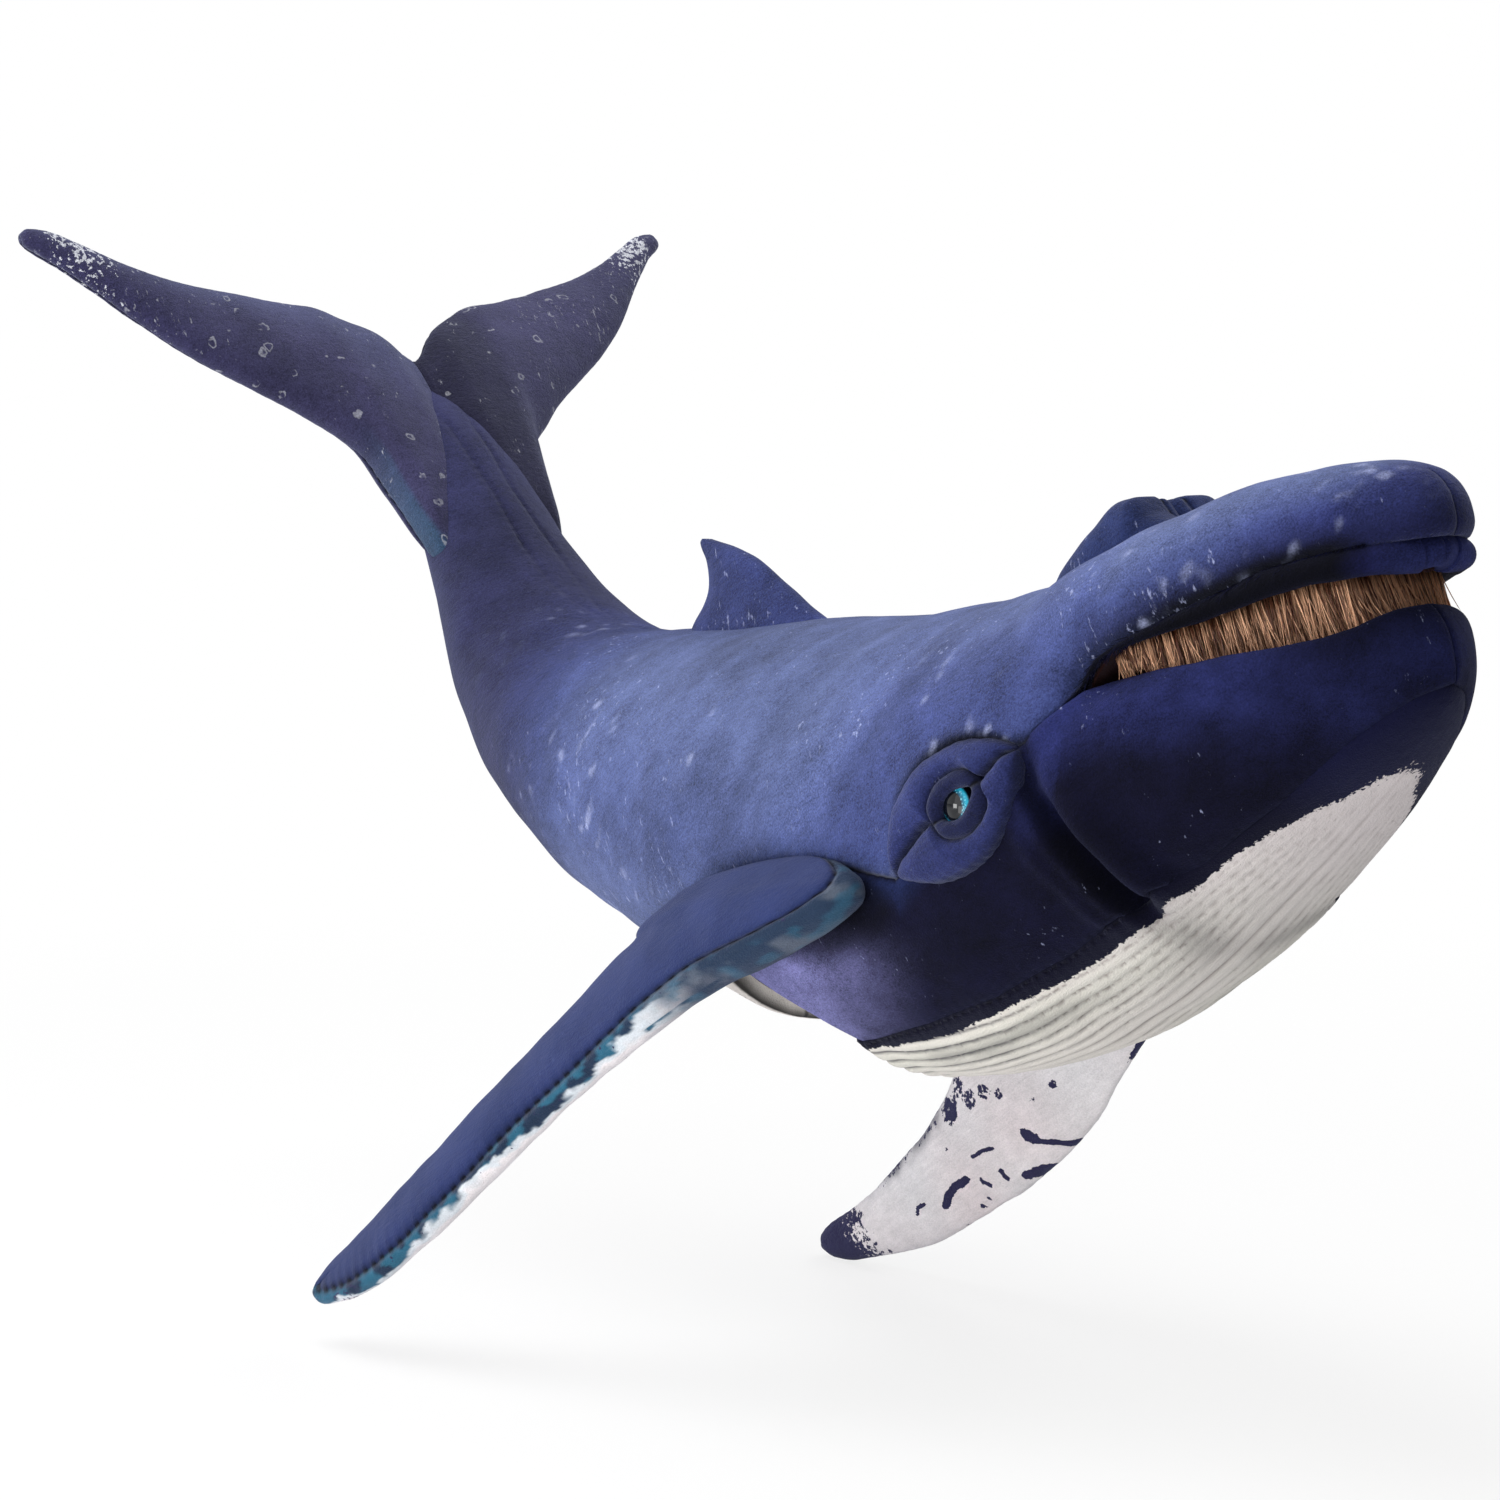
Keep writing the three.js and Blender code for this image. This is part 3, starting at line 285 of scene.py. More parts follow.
def resampled(rows: Rows, count: int, crowd: float = 1.0) -> Array:
    """Rows at count places along the first two columns, by cubic Hermite steps.

    Args:
        rows: The outline's rows.
        count: How many rows come back.
        crowd: Above 1, the places crowd towards the last row.
    """
    table = np.array(rows, float)
    place = lengths(table[:, :2])
    at = (1 - (1 - np.linspace(0, 1, count)) ** crowd) * place[-1]
    slope = slopes(place, table)
    k = np.clip(np.searchsorted(place, at, side="right") - 1, 0, len(place) - 2)
    width = (place[k + 1] - place[k])[:, None]
    t = ((at - place[k]) / width[:, 0])[:, None]
    return ((2 * t**3 - 3 * t**2 + 1) * table[k] + (t**3 - 2 * t**2 + t) * width * slope[k]
            + (3 * t**2 - 2 * t**3) * table[k + 1] + (t**3 - t**2) * width * slope[k + 1])


def from_ends(count: int) -> Array:
    """How many places lie between each of a row and its nearer end."""
    return np.minimum(np.arange(count), np.arange(count)[::-1])


def circle(count: int) -> Array:
    """Angles of evenly spaced places round a circle."""
    return np.linspace(0, 2 * math.pi, count, endpoint=False)


def leaned(points: Array, degrees: float) -> Array:
    """Points turned about y, so that noise read there leans."""
    lean, (x, y, z) = math.radians(degrees), points.T
    return np.stack([x * math.cos(lean) - z * math.sin(lean), y,
                     x * math.sin(lean) + z * math.cos(lean)], 1)


def signed_power(values: Array, power: Array) -> Array:
    """The sign of each value times its size to a power."""
    return np.sign(values) * np.abs(values) ** power


def width_at(rows: Rows, x: Array, z: Array) -> Array:
    """Half the width of a trunk outline at x and z: width * (1 - |dz / height|^p)^(1/p)."""
    table = resampled(rows, 300)
    centre, width, up, down, power = (column(table, x, k) for k in (1, 3, 4, 5, 6))
    share = np.clip(np.abs(z - centre) / np.where(z > centre, up, down), 0, 0.999)
    return width * (1 - share**power) ** (1 / power)


def grid_faces(rows: int, columns: int, wrap: bool = True) -> Array:
    """Quads between the neighbours of a grid, which may wrap round its columns."""
    last = columns if wrap else columns - 1
    i, k = np.meshgrid(np.arange(rows - 1), np.arange(last), indexing="ij")
    after = (k + 1) % columns
    corners = [i * columns + k, i * columns + after,
               (i + 1) * columns + after, (i + 1) * columns + k]
    return np.stack(corners, -1).reshape(-1, 4)


@dataclass
class Surface:
    """Points in millimetres and the faces of four corners between them."""

    points: Array
    faces: Array

    def crossed(self) -> Array:
        """The crossed diagonals of the faces."""
        corner = self.points[self.faces]
        return np.cross(corner[:, 2] - corner[:, 0], corner[:, 3] - corner[:, 1])

    def normals(self) -> Array:
        """Unit normals at the points: the sum of the crossed diagonals of the faces there."""
        crossed = self.crossed()
        total = np.stack([np.bincount(self.faces.ravel(), np.repeat(crossed[:, axis], 4),
                                      minlength=len(self.points)) for axis in range(3)], 1)
        return unit(total)

    def edges(self) -> Array:
        """The directed sides of all the faces."""
        return np.concatenate([self.faces[:, [k, (k + 1) % 4]] for k in range(4)])

    def relaxed(self, rounds: int, pull: float = 0.5, push: float = -0.52) -> "Surface":
        """The surface with each point drawn to the mean of its neighbours and pushed back."""
        one, two = self.edges().T
        one, two = np.concatenate([one, two]), np.concatenate([two, one])
        count = np.maximum(np.bincount(one, minlength=len(self.points)), 1)[:, None]
        points = self.points.copy()
        for turn in range(rounds * 2):
            mean = np.stack([np.bincount(one, points[two, axis], minlength=len(points))
                             for axis in range(3)], 1) / count
            points += (pull if turn % 2 == 0 else push) * (mean - points)
        return Surface(points, self.faces)

    def raised(self, heights: Array) -> "Surface":
        """The surface with each point moved along its normal."""
        return Surface(self.points + self.normals() * np.asarray(heights)[:, None], self.faces)

    def compact(self) -> "Surface":
        """The surface without the points that no face uses."""
        used, faces = np.unique(self.faces, return_inverse=True)
        return Surface(self.points[used], faces.reshape(-1, 4))

    def turned_out(self) -> "Surface":
        """The surface with its faces reversed where it was inside out."""
        corner = self.points[self.faces]
        volume = np.einsum("ij,ij", corner.mean(1) - self.points.mean(0), self.crossed())
        return self if volume > 0 else Surface(self.points, self.faces[:, ::-1])


def joined(parts: Sequence[Surface]) -> Surface:
    """Several surfaces as one."""
    starts = np.cumsum([0] + [len(part.points) for part in parts[:-1]])
    faces = [part.faces + start for part, start in zip(parts, starts)]
    return Surface(np.concatenate([part.points for part in parts]), np.concatenate(faces))


def loft(sections: Array) -> Surface:
    """A closed form through rings, each end drawn to the middle of its ring, facing outwards.

    Args:
        sections: Rings as (ring, point, xyz).
    """
    first, last = (np.repeat(sections[k].mean(0)[None, None], sections.shape[1], 1)
                   for k in (0, -1))
    rings = np.concatenate([first, sections, last])
    return Surface(rings.reshape(-1, 3), grid_faces(len(rings), rings.shape[1])).turned_out()


def trunk_rings(rows: Rows, count: int, around: int, middle: float = 0,
                crowd: float = 1.0) -> Array:
    """Rings of a trunk outline: superellipses with their own height up and down.

    Each row is x, z, tilt, half width, height up, height down and power. A ring's point lies
    width * c^(2/p) across and height * s^(2/p) up, leaned back by the tilt.
    """
    x, z, tilt, width, up, down, power = (c[:, None] for c in resampled(rows, count, crowd).T)
    angle = circle(around)[None]
    across = width * signed_power(np.cos(angle), 2 / power)
    rise = np.where(np.sin(angle) > 0, up, down) * signed_power(np.sin(angle), 2 / power)
    lean = np.radians(tilt)
    return np.stack([x - rise * np.sin(lean), middle + across, z + rise * np.cos(lean)], -1)


def tube_rings(path: Array, radius: Array, around: int = 12, flat: float = 1.0) -> Array:
    """Rings of a tube along a path, upright where the path is level.

    Args:
        path: Points along the middle.
        radius: Radius at each point.
        around: Points in a ring.
        flat: The ring's height as a share of its width.
    """
    tangent = unit(np.gradient(path, axis=0))
    side = unit(np.cross(tangent, [0, 0, 1.0]))
    up = np.cross(side, tangent)
    angle = circle(around)[None, :, None]
    size = np.asarray(radius)[:, None, None]
    ring = side[:, None] * np.cos(angle) + flat * up[:, None] * np.sin(angle)
    return path[:, None] + size * ring


def to_line(points: Array, line: Array) -> tuple[Array, Array]:
    """Signed distance to a line on the right flank, and the place along it.

    The distance is positive where cross(direction, offset) points to the right, -y. Points of
    the left flank count as their mirror images.
    """
    spot = points.copy()
    spot[:, 1] = -np.abs(spot[:, 1])
    start, step = line[:-1], np.diff(line, axis=0)
    length = np.linalg.norm(step, axis=1)
    share = np.einsum("nmi,mi->nm", spot[:, None] - start, step) / length**2
    share = np.clip(share, 0, 1)
    offset = spot[:, None] - (start + share[..., None] * step)
    apart = np.linalg.norm(offset, axis=2)
    near = apart.argmin(1)
    pick = np.arange(len(points))
    along = lengths(line)[near] + share[pick, near] * length[near]
    crossed = np.cross(step[near], offset[pick, near])
    return apart[pick, near] * np.where(crossed[:, 1] < 0, 1, -1), along


def placed(name: str, data: bpy.types.ID) -> Piece:
    """A new object of the scene."""
    piece = bpy.data.objects.new(name, data)
    bpy.context.scene.collection.objects.link(piece)
    return piece


def as_mesh(name: str, surface: Surface) -> Piece:
    """A new object at the origin whose mesh is the surface, in row metres, smooth."""
    mesh = bpy.data.meshes.new(name)
    mesh.vertices.add(len(surface.points))
    mesh.vertices.foreach_set("co", in_row(surface.points).astype(np.float32).ravel())
    mesh.loops.add(surface.faces.size)
    mesh.loops.foreach_set("vertex_index", surface.faces.astype(np.int32).ravel())
    mesh.polygons.add(len(surface.faces))
    mesh.polygons.foreach_set("loop_start", np.arange(0, surface.faces.size, 4, dtype=np.int32))
    mesh.update(calc_edges=True)
    mesh.shade_smooth()
    return placed(name, mesh)


def evaluated(piece: Piece) -> Surface:
    """The surface of a working object with its modifiers, after which the object goes."""
    graph = bpy.context.evaluated_depsgraph_get()
    mesh = piece.evaluated_get(graph).to_mesh()
    points = np.zeros(len(mesh.vertices) * 3, np.float32)
    mesh.vertices.foreach_get("co", points)
    corners = np.zeros(len(mesh.loops), np.int32)
    mesh.loops.foreach_get("vertex_index", corners)
    points = points.reshape(-1, 3).astype(float) * 1000 + ORIGIN
    bpy.data.objects.remove(piece)
    return Surface(points, corners.reshape(-1, 4).astype(np.int64))


def fused(parts: Sequence[Surface], voxel: float, rounds: int = 6) -> Surface:
    """Overlapping closed forms as one even skin: voxel remesh, then smoothing.

    Args:
        parts: Closed forms.
        voxel: Spacing of the points, in millimetres.
        rounds: Smoothing rounds.
    """
    piece = as_mesh("working", joined(parts))
    remesh = piece.modifiers.new("fuse", "REMESH")
    remesh.mode = "VOXEL"
    remesh.voxel_size = voxel / 1000
    return evaluated(piece).relaxed(rounds)


def divided(surface: Surface) -> Surface:
    """The surface after one Catmull-Clark subdivision."""
    piece = as_mesh("working", surface)
    finer = piece.modifiers.new("finer", "SUBSURF")
    finer.levels = finer.render_levels = 1
    return evaluated(piece)


def stuffed(rings: Array, held: Array, cap: float, pressure: float = 4.0) -> Array:
    """Rings of a form after stuffing: a cloth run with pressure inside and no gravity.

    Args:
        rings: The sewn form, as (ring, point, xyz), its ends open.
        held: From 0 to 1 at each point, how firmly a seam holds it.
        cap: The furthest that a point may move, in millimetres.
        pressure: Pressure of the stuffing.

    Returns:
        The rings with each point moved.
    """
    rows, columns = rings.shape[:2]
    before = Surface(rings.reshape(-1, 3), grid_faces(rows, columns))
    piece = as_mesh("working", before.turned_out())
    group = piece.vertex_groups.new(name="held")
    firm = np.round(np.clip(held.ravel(), 0, 1), 1)
    for level in np.unique(firm[firm > 0]):
        group.add(np.flatnonzero(firm == level).tolist(), float(level), "REPLACE")
    cloth = piece.modifiers.new("stuffing", "CLOTH").settings
    cloth.quality = 3
    cloth.use_pressure = True
    cloth.uniform_pressure_force = pressure
    cloth.effector_weights.gravity = 0
    cloth.vertex_group_mass = "held"
    for number in range(1, CLOTH_FRAMES + 1):
        bpy.context.scene.frame_set(number)
    after = evaluated(piece)
    bpy.context.scene.frame_set(1)
    move = after.points - before.points
    reach = np.linalg.norm(move, axis=1, keepdims=True)
    LOG.info("stuffed %d points, moved %.1f mm at most", len(move), reach.max())
    move = move * np.minimum(1, cap / np.maximum(reach, 1e-9))
    return rings + move.reshape(rings.shape)


def finer_rings(values: Array, rows: int, columns: int) -> Array:
    """Values on a grid that wraps round its columns, at more places, linear in between."""
    across = np.concatenate([values, values[:, :1]], 1)
    at = np.linspace(0, across.shape[1] - 1, columns, endpoint=False)
    k = at.astype(int)
    share = (at - k)[None, :, None]
    across = across[:, k] * (1 - share) + across[:, k + 1] * share
    at = np.linspace(0, len(values) - 1, rows)
    k = np.minimum(at.astype(int), len(values) - 2)
    share = (at - k)[:, None, None]
    return across[k] * (1 - share) + across[k + 1] * share


def borders(surface: Surface) -> Array:
    """The directed sides that only one face has."""
    sides = surface.edges()
    count = len(surface.points)
    return sides[~np.isin(sides[:, 0] * count + sides[:, 1], sides[:, 1] * count + sides[:, 0])]


def gradient(of: Field, points: Array, step: float = 0.5) -> Array:
    """Central differences of a field."""
    moves = np.eye(3) * step
    return np.stack([(of(points + move) - of(points - move)) / (2 * step) for move in moves], 1)


@dataclass(frozen=True)
class Rim:
    """How a panel's cut edge turns in: a drop over a width, then a wall, swollen outwards."""

    drop: float = 1.8
    width: float = 6.0
    wall: float = 9.0
    swell: float = 0.0


def panel(skin: Surface, inside: Field, rim: Rim = Rim(), spacing: float = 1.6) -> Surface:
    """The part of a skin where a field is positive, its edge set on the field's zero and turned in.

    Args:
        skin: A closed skin.
        inside: Signed distance in millimetres, positive on the panel.
        rim: The turned edge.
        spacing: The skin's point spacing.
    """
    values = inside(skin.points)
    kept = Surface(skin.points, skin.faces[(values[skin.faces] > -0.35 * spacing).all(1)])
    out = skin.normals()
    edge = np.unique(borders(kept))
    points = skin.points.copy()
    for _ in range(3):
        slope = gradient(inside, points[edge])
        slope -= out[edge] * np.einsum("ij,ij->i", slope, out[edge])[:, None]
        size = np.maximum((slope**2).sum(1), 0.1)
        step = (inside(points[edge]) / size)[:, None] * slope
        length = np.linalg.norm(step, axis=1, keepdims=True)
        points[edge] -= step * np.minimum(1, 2 * spacing / np.maximum(length, 1e-9))
    values = np.maximum(inside(points), 0)
    points -= out * (rim.drop * np.clip(1 - values / rim.width, 0, 1) ** 2)[:, None]
    sides = borders(kept)
    new = np.full(len(points), -1)
    new[edge] = len(points) + np.arange(len(edge))
    rings = [points]
    faces = [kept.faces]
    before = np.arange(len(points))
    inward = unit(slope)
    for share in (0.15, 0.35, 0.65, 1.0):
        swell = rim.swell * math.sin(math.pi * min(1, share * 1.3))
        rings.append(points[edge] - out[edge] * rim.wall * share - inward * swell)
        faces.append(np.stack([before[sides[:, 1]], before[sides[:, 0]],
                               new[sides[:, 0]], new[sides[:, 1]]], 1))
        before, new = new, np.where(new >= 0, new + len(edge), new)
    return Surface(np.concatenate(rings), np.concatenate(faces)).compact()


def height_over(line: Array) -> Field:
    """Height over a line in the middle plane, as a signed distance."""
    def value(points: Array) -> Array:
        """Height over the line times the cosine of its slope."""
        level = column(line, points[:, 0])
        rise = column(line, points[:, 0] + 1) - level
        return (points[:, 2] - level) / np.hypot(1, rise)
    return value


UPPER_LINE = np.array(SIDE_SEAM + UPPER_LIP, float)
LOWER_LINE = np.array(SIDE_SEAM + LOWER_LIP, float)
OVER_MOUTH = height_over(UPPER_LINE)
OVER_CHIN = height_over(LOWER_LINE)
OVER_THROAT = height_over(THROAT_SEAM)
OVER_PRINT = height_over(PRINT_EDGE)


def run_along(line: Array, x: Array) -> Array:
    """Length along a line in the middle plane up to x."""
    return np.interp(x, line[:, 0], lengths(line))


def set_attribute(piece: Piece, name: str, values: Array) -> None:
    """Writes a float or a colour for each point."""
    kind = "FLOAT" if values.ndim == 1 else "FLOAT_COLOR"
    layer = piece.data.attributes.new(name, kind, "POINT")
    if values.ndim == 1:
        layer.data.foreach_set("value", values.astype(np.float32))
    else:
        colours = np.concatenate([values, np.ones((len(values), 1))], 1)
        layer.data.foreach_set("color", colours.astype(np.float32).ravel())


def plain(ink: Ink, points: Array) -> Array:
    """One dye at every point."""
    return np.repeat(ink.rgb[None], len(points), 0)


def dyed(base: Array, ink: Ink, share: Array) -> Array:
    """Colours drawn towards a dye by a share at each point."""
    return base + (ink.rgb - base) * np.clip(share, 0, 1)[:, None]


def toned(base: Array, change: Array) -> Array:
    """Colours made lighter, or darker where it is negative, by a share at each point."""
    return base * (1 + change)[:, None]


class Node:
    """Short ways to place and link shader nodes in a tree."""

    def __init__(self, tree: Tree) -> None:
        """Keeps the tree."""
        self.tree = tree

    def add(self, kind: str, values: dict[str, object] | None = None,
            **settings: object) -> bpy.types.Node:
        """A node with settings, whose inputs get values or links.

        Args:
            kind: The node's type.
            values: Inputs by name or number, each a constant or an output socket.
            settings: Properties of the node.
        """
        node = self.tree.nodes.new(kind)
        for name, value in settings.items():
            setattr(node, name, value)
        return self.fill(node, values or {})

    def fill(self, node: bpy.types.Node, values: dict[str, object]) -> bpy.types.Node:
        """The node, after its inputs got values or links."""
        for name, value in values.items():
            socket = node.inputs[int(name)] if name.isdigit() else node.inputs[name]
            if isinstance(value, Socket):
                self.tree.links.new(value, socket)
            else:
                socket.default_value = value
        return node

    def group(self, tree: Tree, values: dict[str, object]) -> bpy.types.Node:
        """A node that runs a group."""
        return self.add("ShaderNodeGroup", values, node_tree=tree)

    def scaled(self, colour: object, gain: object) -> Socket:
        """A colour times a number."""
        return self.add("ShaderNodeVectorMath", {"0": colour, "Scale": gain},
                        operation="SCALE").outputs[0]

    def math(self, operation: str, *values: object) -> Socket:
        """The output of a Math node."""
        inputs = {str(k): value for k, value in enumerate(values)}
        return self.add("ShaderNodeMath", inputs, operation=operation).outputs[0]

    def ramp(self, value: object, low: float, high: float) -> Socket:
        """A smoothstep of a value from 0 at low to 1 at high."""
        return self.add("ShaderNodeMapRange", {"Value": value, "From Min": low, "From Max": high},
                        interpolation_type="SMOOTHSTEP").outputs[0]

    def mix(self, share: object, one: object, two: object, blend: str = "MIX") -> Socket:
        """A mix of two colours."""
        node = self.add("ShaderNodeMix", {"Factor": share}, data_type="RGBA", blend_type=blend)
        for number, value in ((6, one), (7, two)):
            if isinstance(value, Socket):
                self.tree.links.new(value, node.inputs[number])
            else:
                node.inputs[number].default_value = (*value, 1)
        return node.outputs[2]

    def noise(self, place: object, scale: object, detail: float = 2, rough: float = 0.5) -> Socket:
        """The value of a Noise Texture."""
        values = {"Vector": place, "Scale": scale, "Detail": detail, "Roughness": rough}
        return self.add("ShaderNodeTexNoise", values).outputs["Fac"]

    def attribute(self, name: str, colour: bool = False) -> Socket:
        """A value or colour that the mesh carries."""
        node = self.add("ShaderNodeAttribute", attribute_name=name)
        return node.outputs["Color" if colour else "Fac"]

    def place(self, turn: tuple[float, float, float] = (0, 0, 0),
              scale: tuple[float, float, float] = (1, 1, 1)) -> Socket:
        """Object coordinates, turned and stretched."""
        spot = self.add("ShaderNodeTexCoord").outputs["Object"]
        turned = self.add("ShaderNodeMapping", {"Vector": spot, "Rotation": turn})
        scaled = self.add("ShaderNodeMapping", {"Vector": turned.outputs[0], "Scale": scale})
        return scaled.outputs[0]


def new_finish(name: str) -> tuple[Material, Node, bpy.types.Node]:
    """A new material, the node maker for its tree, and its Principled shader."""
    stuff = bpy.data.materials.new(name)
    stuff.use_nodes = True
    return stuff, Node(stuff.node_tree), stuff.node_tree.nodes["Principled BSDF"]


def new_group(name: str, inputs: dict[str, object], outputs: dict[str, str]) -> tuple[Node, dict]:
    """An empty shader node group with its sockets.

    Args:
        name: The group's name.
        inputs: Each input's default; a tuple makes a colour and None a vector.
        outputs: Each output's kind, Color or Float.

    Returns:
        A node maker for the tree, and the input sockets by name.
    """
    tree = bpy.data.node_groups.new(name, "ShaderNodeTree")
    for label, value in inputs.items():
        kind = {tuple: "Color", type(None): "Vector"}.get(type(value), "Float")
        socket = tree.interface.new_socket(label, in_out="INPUT", socket_type=f"NodeSocket{kind}")
        if kind == "Float":
            socket.default_value = value
    for label, kind in outputs.items():
        tree.interface.new_socket(label, in_out="OUTPUT", socket_type=f"NodeSocket{kind}")
    node = Node(tree)
    into = node.add("NodeGroupInput")
    return node, {label: into.outputs[label] for label in inputs}


def pile_group() -> Tree:
    """Cut pile: mottled colour where the nap leans, and the height of its fibre tufts.

    The colour is the base times 1 + Mottle * (slow noise - 0.5) + Nap * (brushed noise - 0.5),
    and Tips * (tuft noise - 0.5) for the pale ends of single tufts. Height is fine noise at
    two scales.
    """
    node, into = new_group("cut_pile", {"Colour": (0.5, 0.5, 0.5), "Mottle": 0.3, "Nap": 0.4,
                                        "Tips": 0.3}, {"Colour": "Color", "Height": "Float"})
    place = node.place()
    slow = node.noise(place, 34, 3)
    patches = node.noise(place, 90, 3, 0.6)
    nap = node.noise(node.place((0, 0.6, 0), (0.4, 1, 1.7)), 330, 3, 0.65)
    tuft = node.noise(place, 1500, 2, 0.7)
    fibre = node.noise(place, 3600, 1)
    cloud = node.math("ADD", slow, patches)
    gain = node.math("MULTIPLY_ADD", node.math("SUBTRACT", cloud, 1.0), into["Mottle"], 1.0)
    gain = node.math("MULTIPLY_ADD", node.math("SUBTRACT", nap, 0.5), into["Nap"], gain)
    gain = node.math("MULTIPLY_ADD", node.math("SUBTRACT", tuft, 0.5), into["Tips"], gain)
    gain = node.math("MAXIMUM", gain, 0.1)
    height = node.math("MULTIPLY_ADD", tuft, 0.8, node.math("MULTIPLY", fibre, 0.3))
    height = node.math("MULTIPLY_ADD", nap, 1.1, height)
    node.add("NodeGroupOutput", {"Colour": node.scaled(into["Colour"], gain), "Height": height})
    return node.tree


def marks_group() -> Tree:
    """Ragged printed marks: noise over a threshold that falls from 0.8 to 0.2 with density."""
    node, into = new_group("ragged_marks", {"Vector": None, "Density": 0.0, "Scale": 200.0,
                                            "Edge": 0.02}, {"Mask": "Float"})
    grain = node.noise(into["Vector"], into["Scale"], 4, 0.62)
    over = node.math("SUBTRACT", grain, node.math("MULTIPLY_ADD", into["Density"], -0.6, 0.8))
    share = node.math("DIVIDE", over, into["Edge"])
    node.add("NodeGroupOutput", {"Mask": node.ramp(share, -1.0, 1.0)})
    return node.tree


def curls_group() -> Tree:
    """Small curls: parts of rings round Voronoi points, on some points only."""
    node, into = new_group("pale_curls", {"Vector": None, "Scale": 100.0, "Share": 0.4},
                           {"Mask": "Float"})
    warp = node.add("ShaderNodeTexNoise", {"Vector": into["Vector"], "Scale": 160.0, "Detail": 2})
    moved = node.add("ShaderNodeVectorMath", {"0": warp.outputs["Color"], "1": (0.006,) * 3,
                                              "2": into["Vector"]}, operation="MULTIPLY_ADD")
    cell = node.add("ShaderNodeTexVoronoi", {"Vector": moved.outputs[0], "Scale": into["Scale"]})
    ring = node.math("ABSOLUTE", node.math("SUBTRACT", cell.outputs["Distance"], 0.27))
    ring = node.math("SUBTRACT", 1.0, node.ramp(ring, 0.035, 0.08))
    split = node.add("ShaderNodeSeparateColor", {"0": cell.outputs["Color"]})
    some = node.math("LESS_THAN", split.outputs[0], into["Share"])
    arc = node.ramp(warp.outputs["Fac"], 0.46, 0.54)
    mask = node.math("MULTIPLY", node.math("MULTIPLY", ring, some), arc)
    node.add("NodeGroupOutput", {"Mask": mask})
    return node.tree


def seam_group() -> Tree:
    """A sewn line: darkness in the seam, partly dark thread and partly painted shade in its groove,
    dashes of thread, and puckers beside it with painted shade on them.

    Line is exp(-(distance / Width)^2). The pucker's height is cos(2 pi run / Period) times
    exp(-distance / 5). Distances are in millimetres.
    """
    node, into = new_group("sewn_line", {"Distance": 99.0, "Run": 0.0, "Width": 0.9,
                                         "Period": 4.6}, {"Shade": "Float", "Height": "Float"})
    apart = node.math("ABSOLUTE", into["Distance"])
    share = node.math("DIVIDE", apart, into["Width"])
    line = node.math("EXPONENT", node.math("MULTIPLY", node.math("MULTIPLY", share, share), -1.0))
    wave = node.math("COSINE", node.math("DIVIDE", node.math("MULTIPLY", into["Run"], 6.2832),
                                         into["Period"]))
    dash = node.ramp(wave, -0.4, 0.5)
    # Darkening in the seam: the thread's dashes and painted shade in the groove.
    depth = node.math("MULTIPLY", line, node.math("MULTIPLY_ADD", dash, 0.42, 0.42))
    near = node.math("EXPONENT", node.math("MULTIPLY", apart, -0.5))
    # Painted shade on the puckers beside the seam.
    soft = node.math("MULTIPLY", node.math("MULTIPLY_ADD", wave, 0.06, 0.16), near)
    shade = node.math("SUBTRACT", node.math("SUBTRACT", 1.0, depth), soft)
    height = node.math("MULTIPLY_ADD", line, -2.4, node.math("MULTIPLY", node.math(
        "MULTIPLY", wave, near), 0.35))
    node.add("NodeGroupOutput", {"Shade": node.math("MAXIMUM", shade, 0.06), "Height": height})
    return node.tree


@dataclass(frozen=True)
class Groups:
    """The shader node groups that the finishes share."""

    pile: Tree
    marks: Tree
    curls: Tree
    seam: Tree


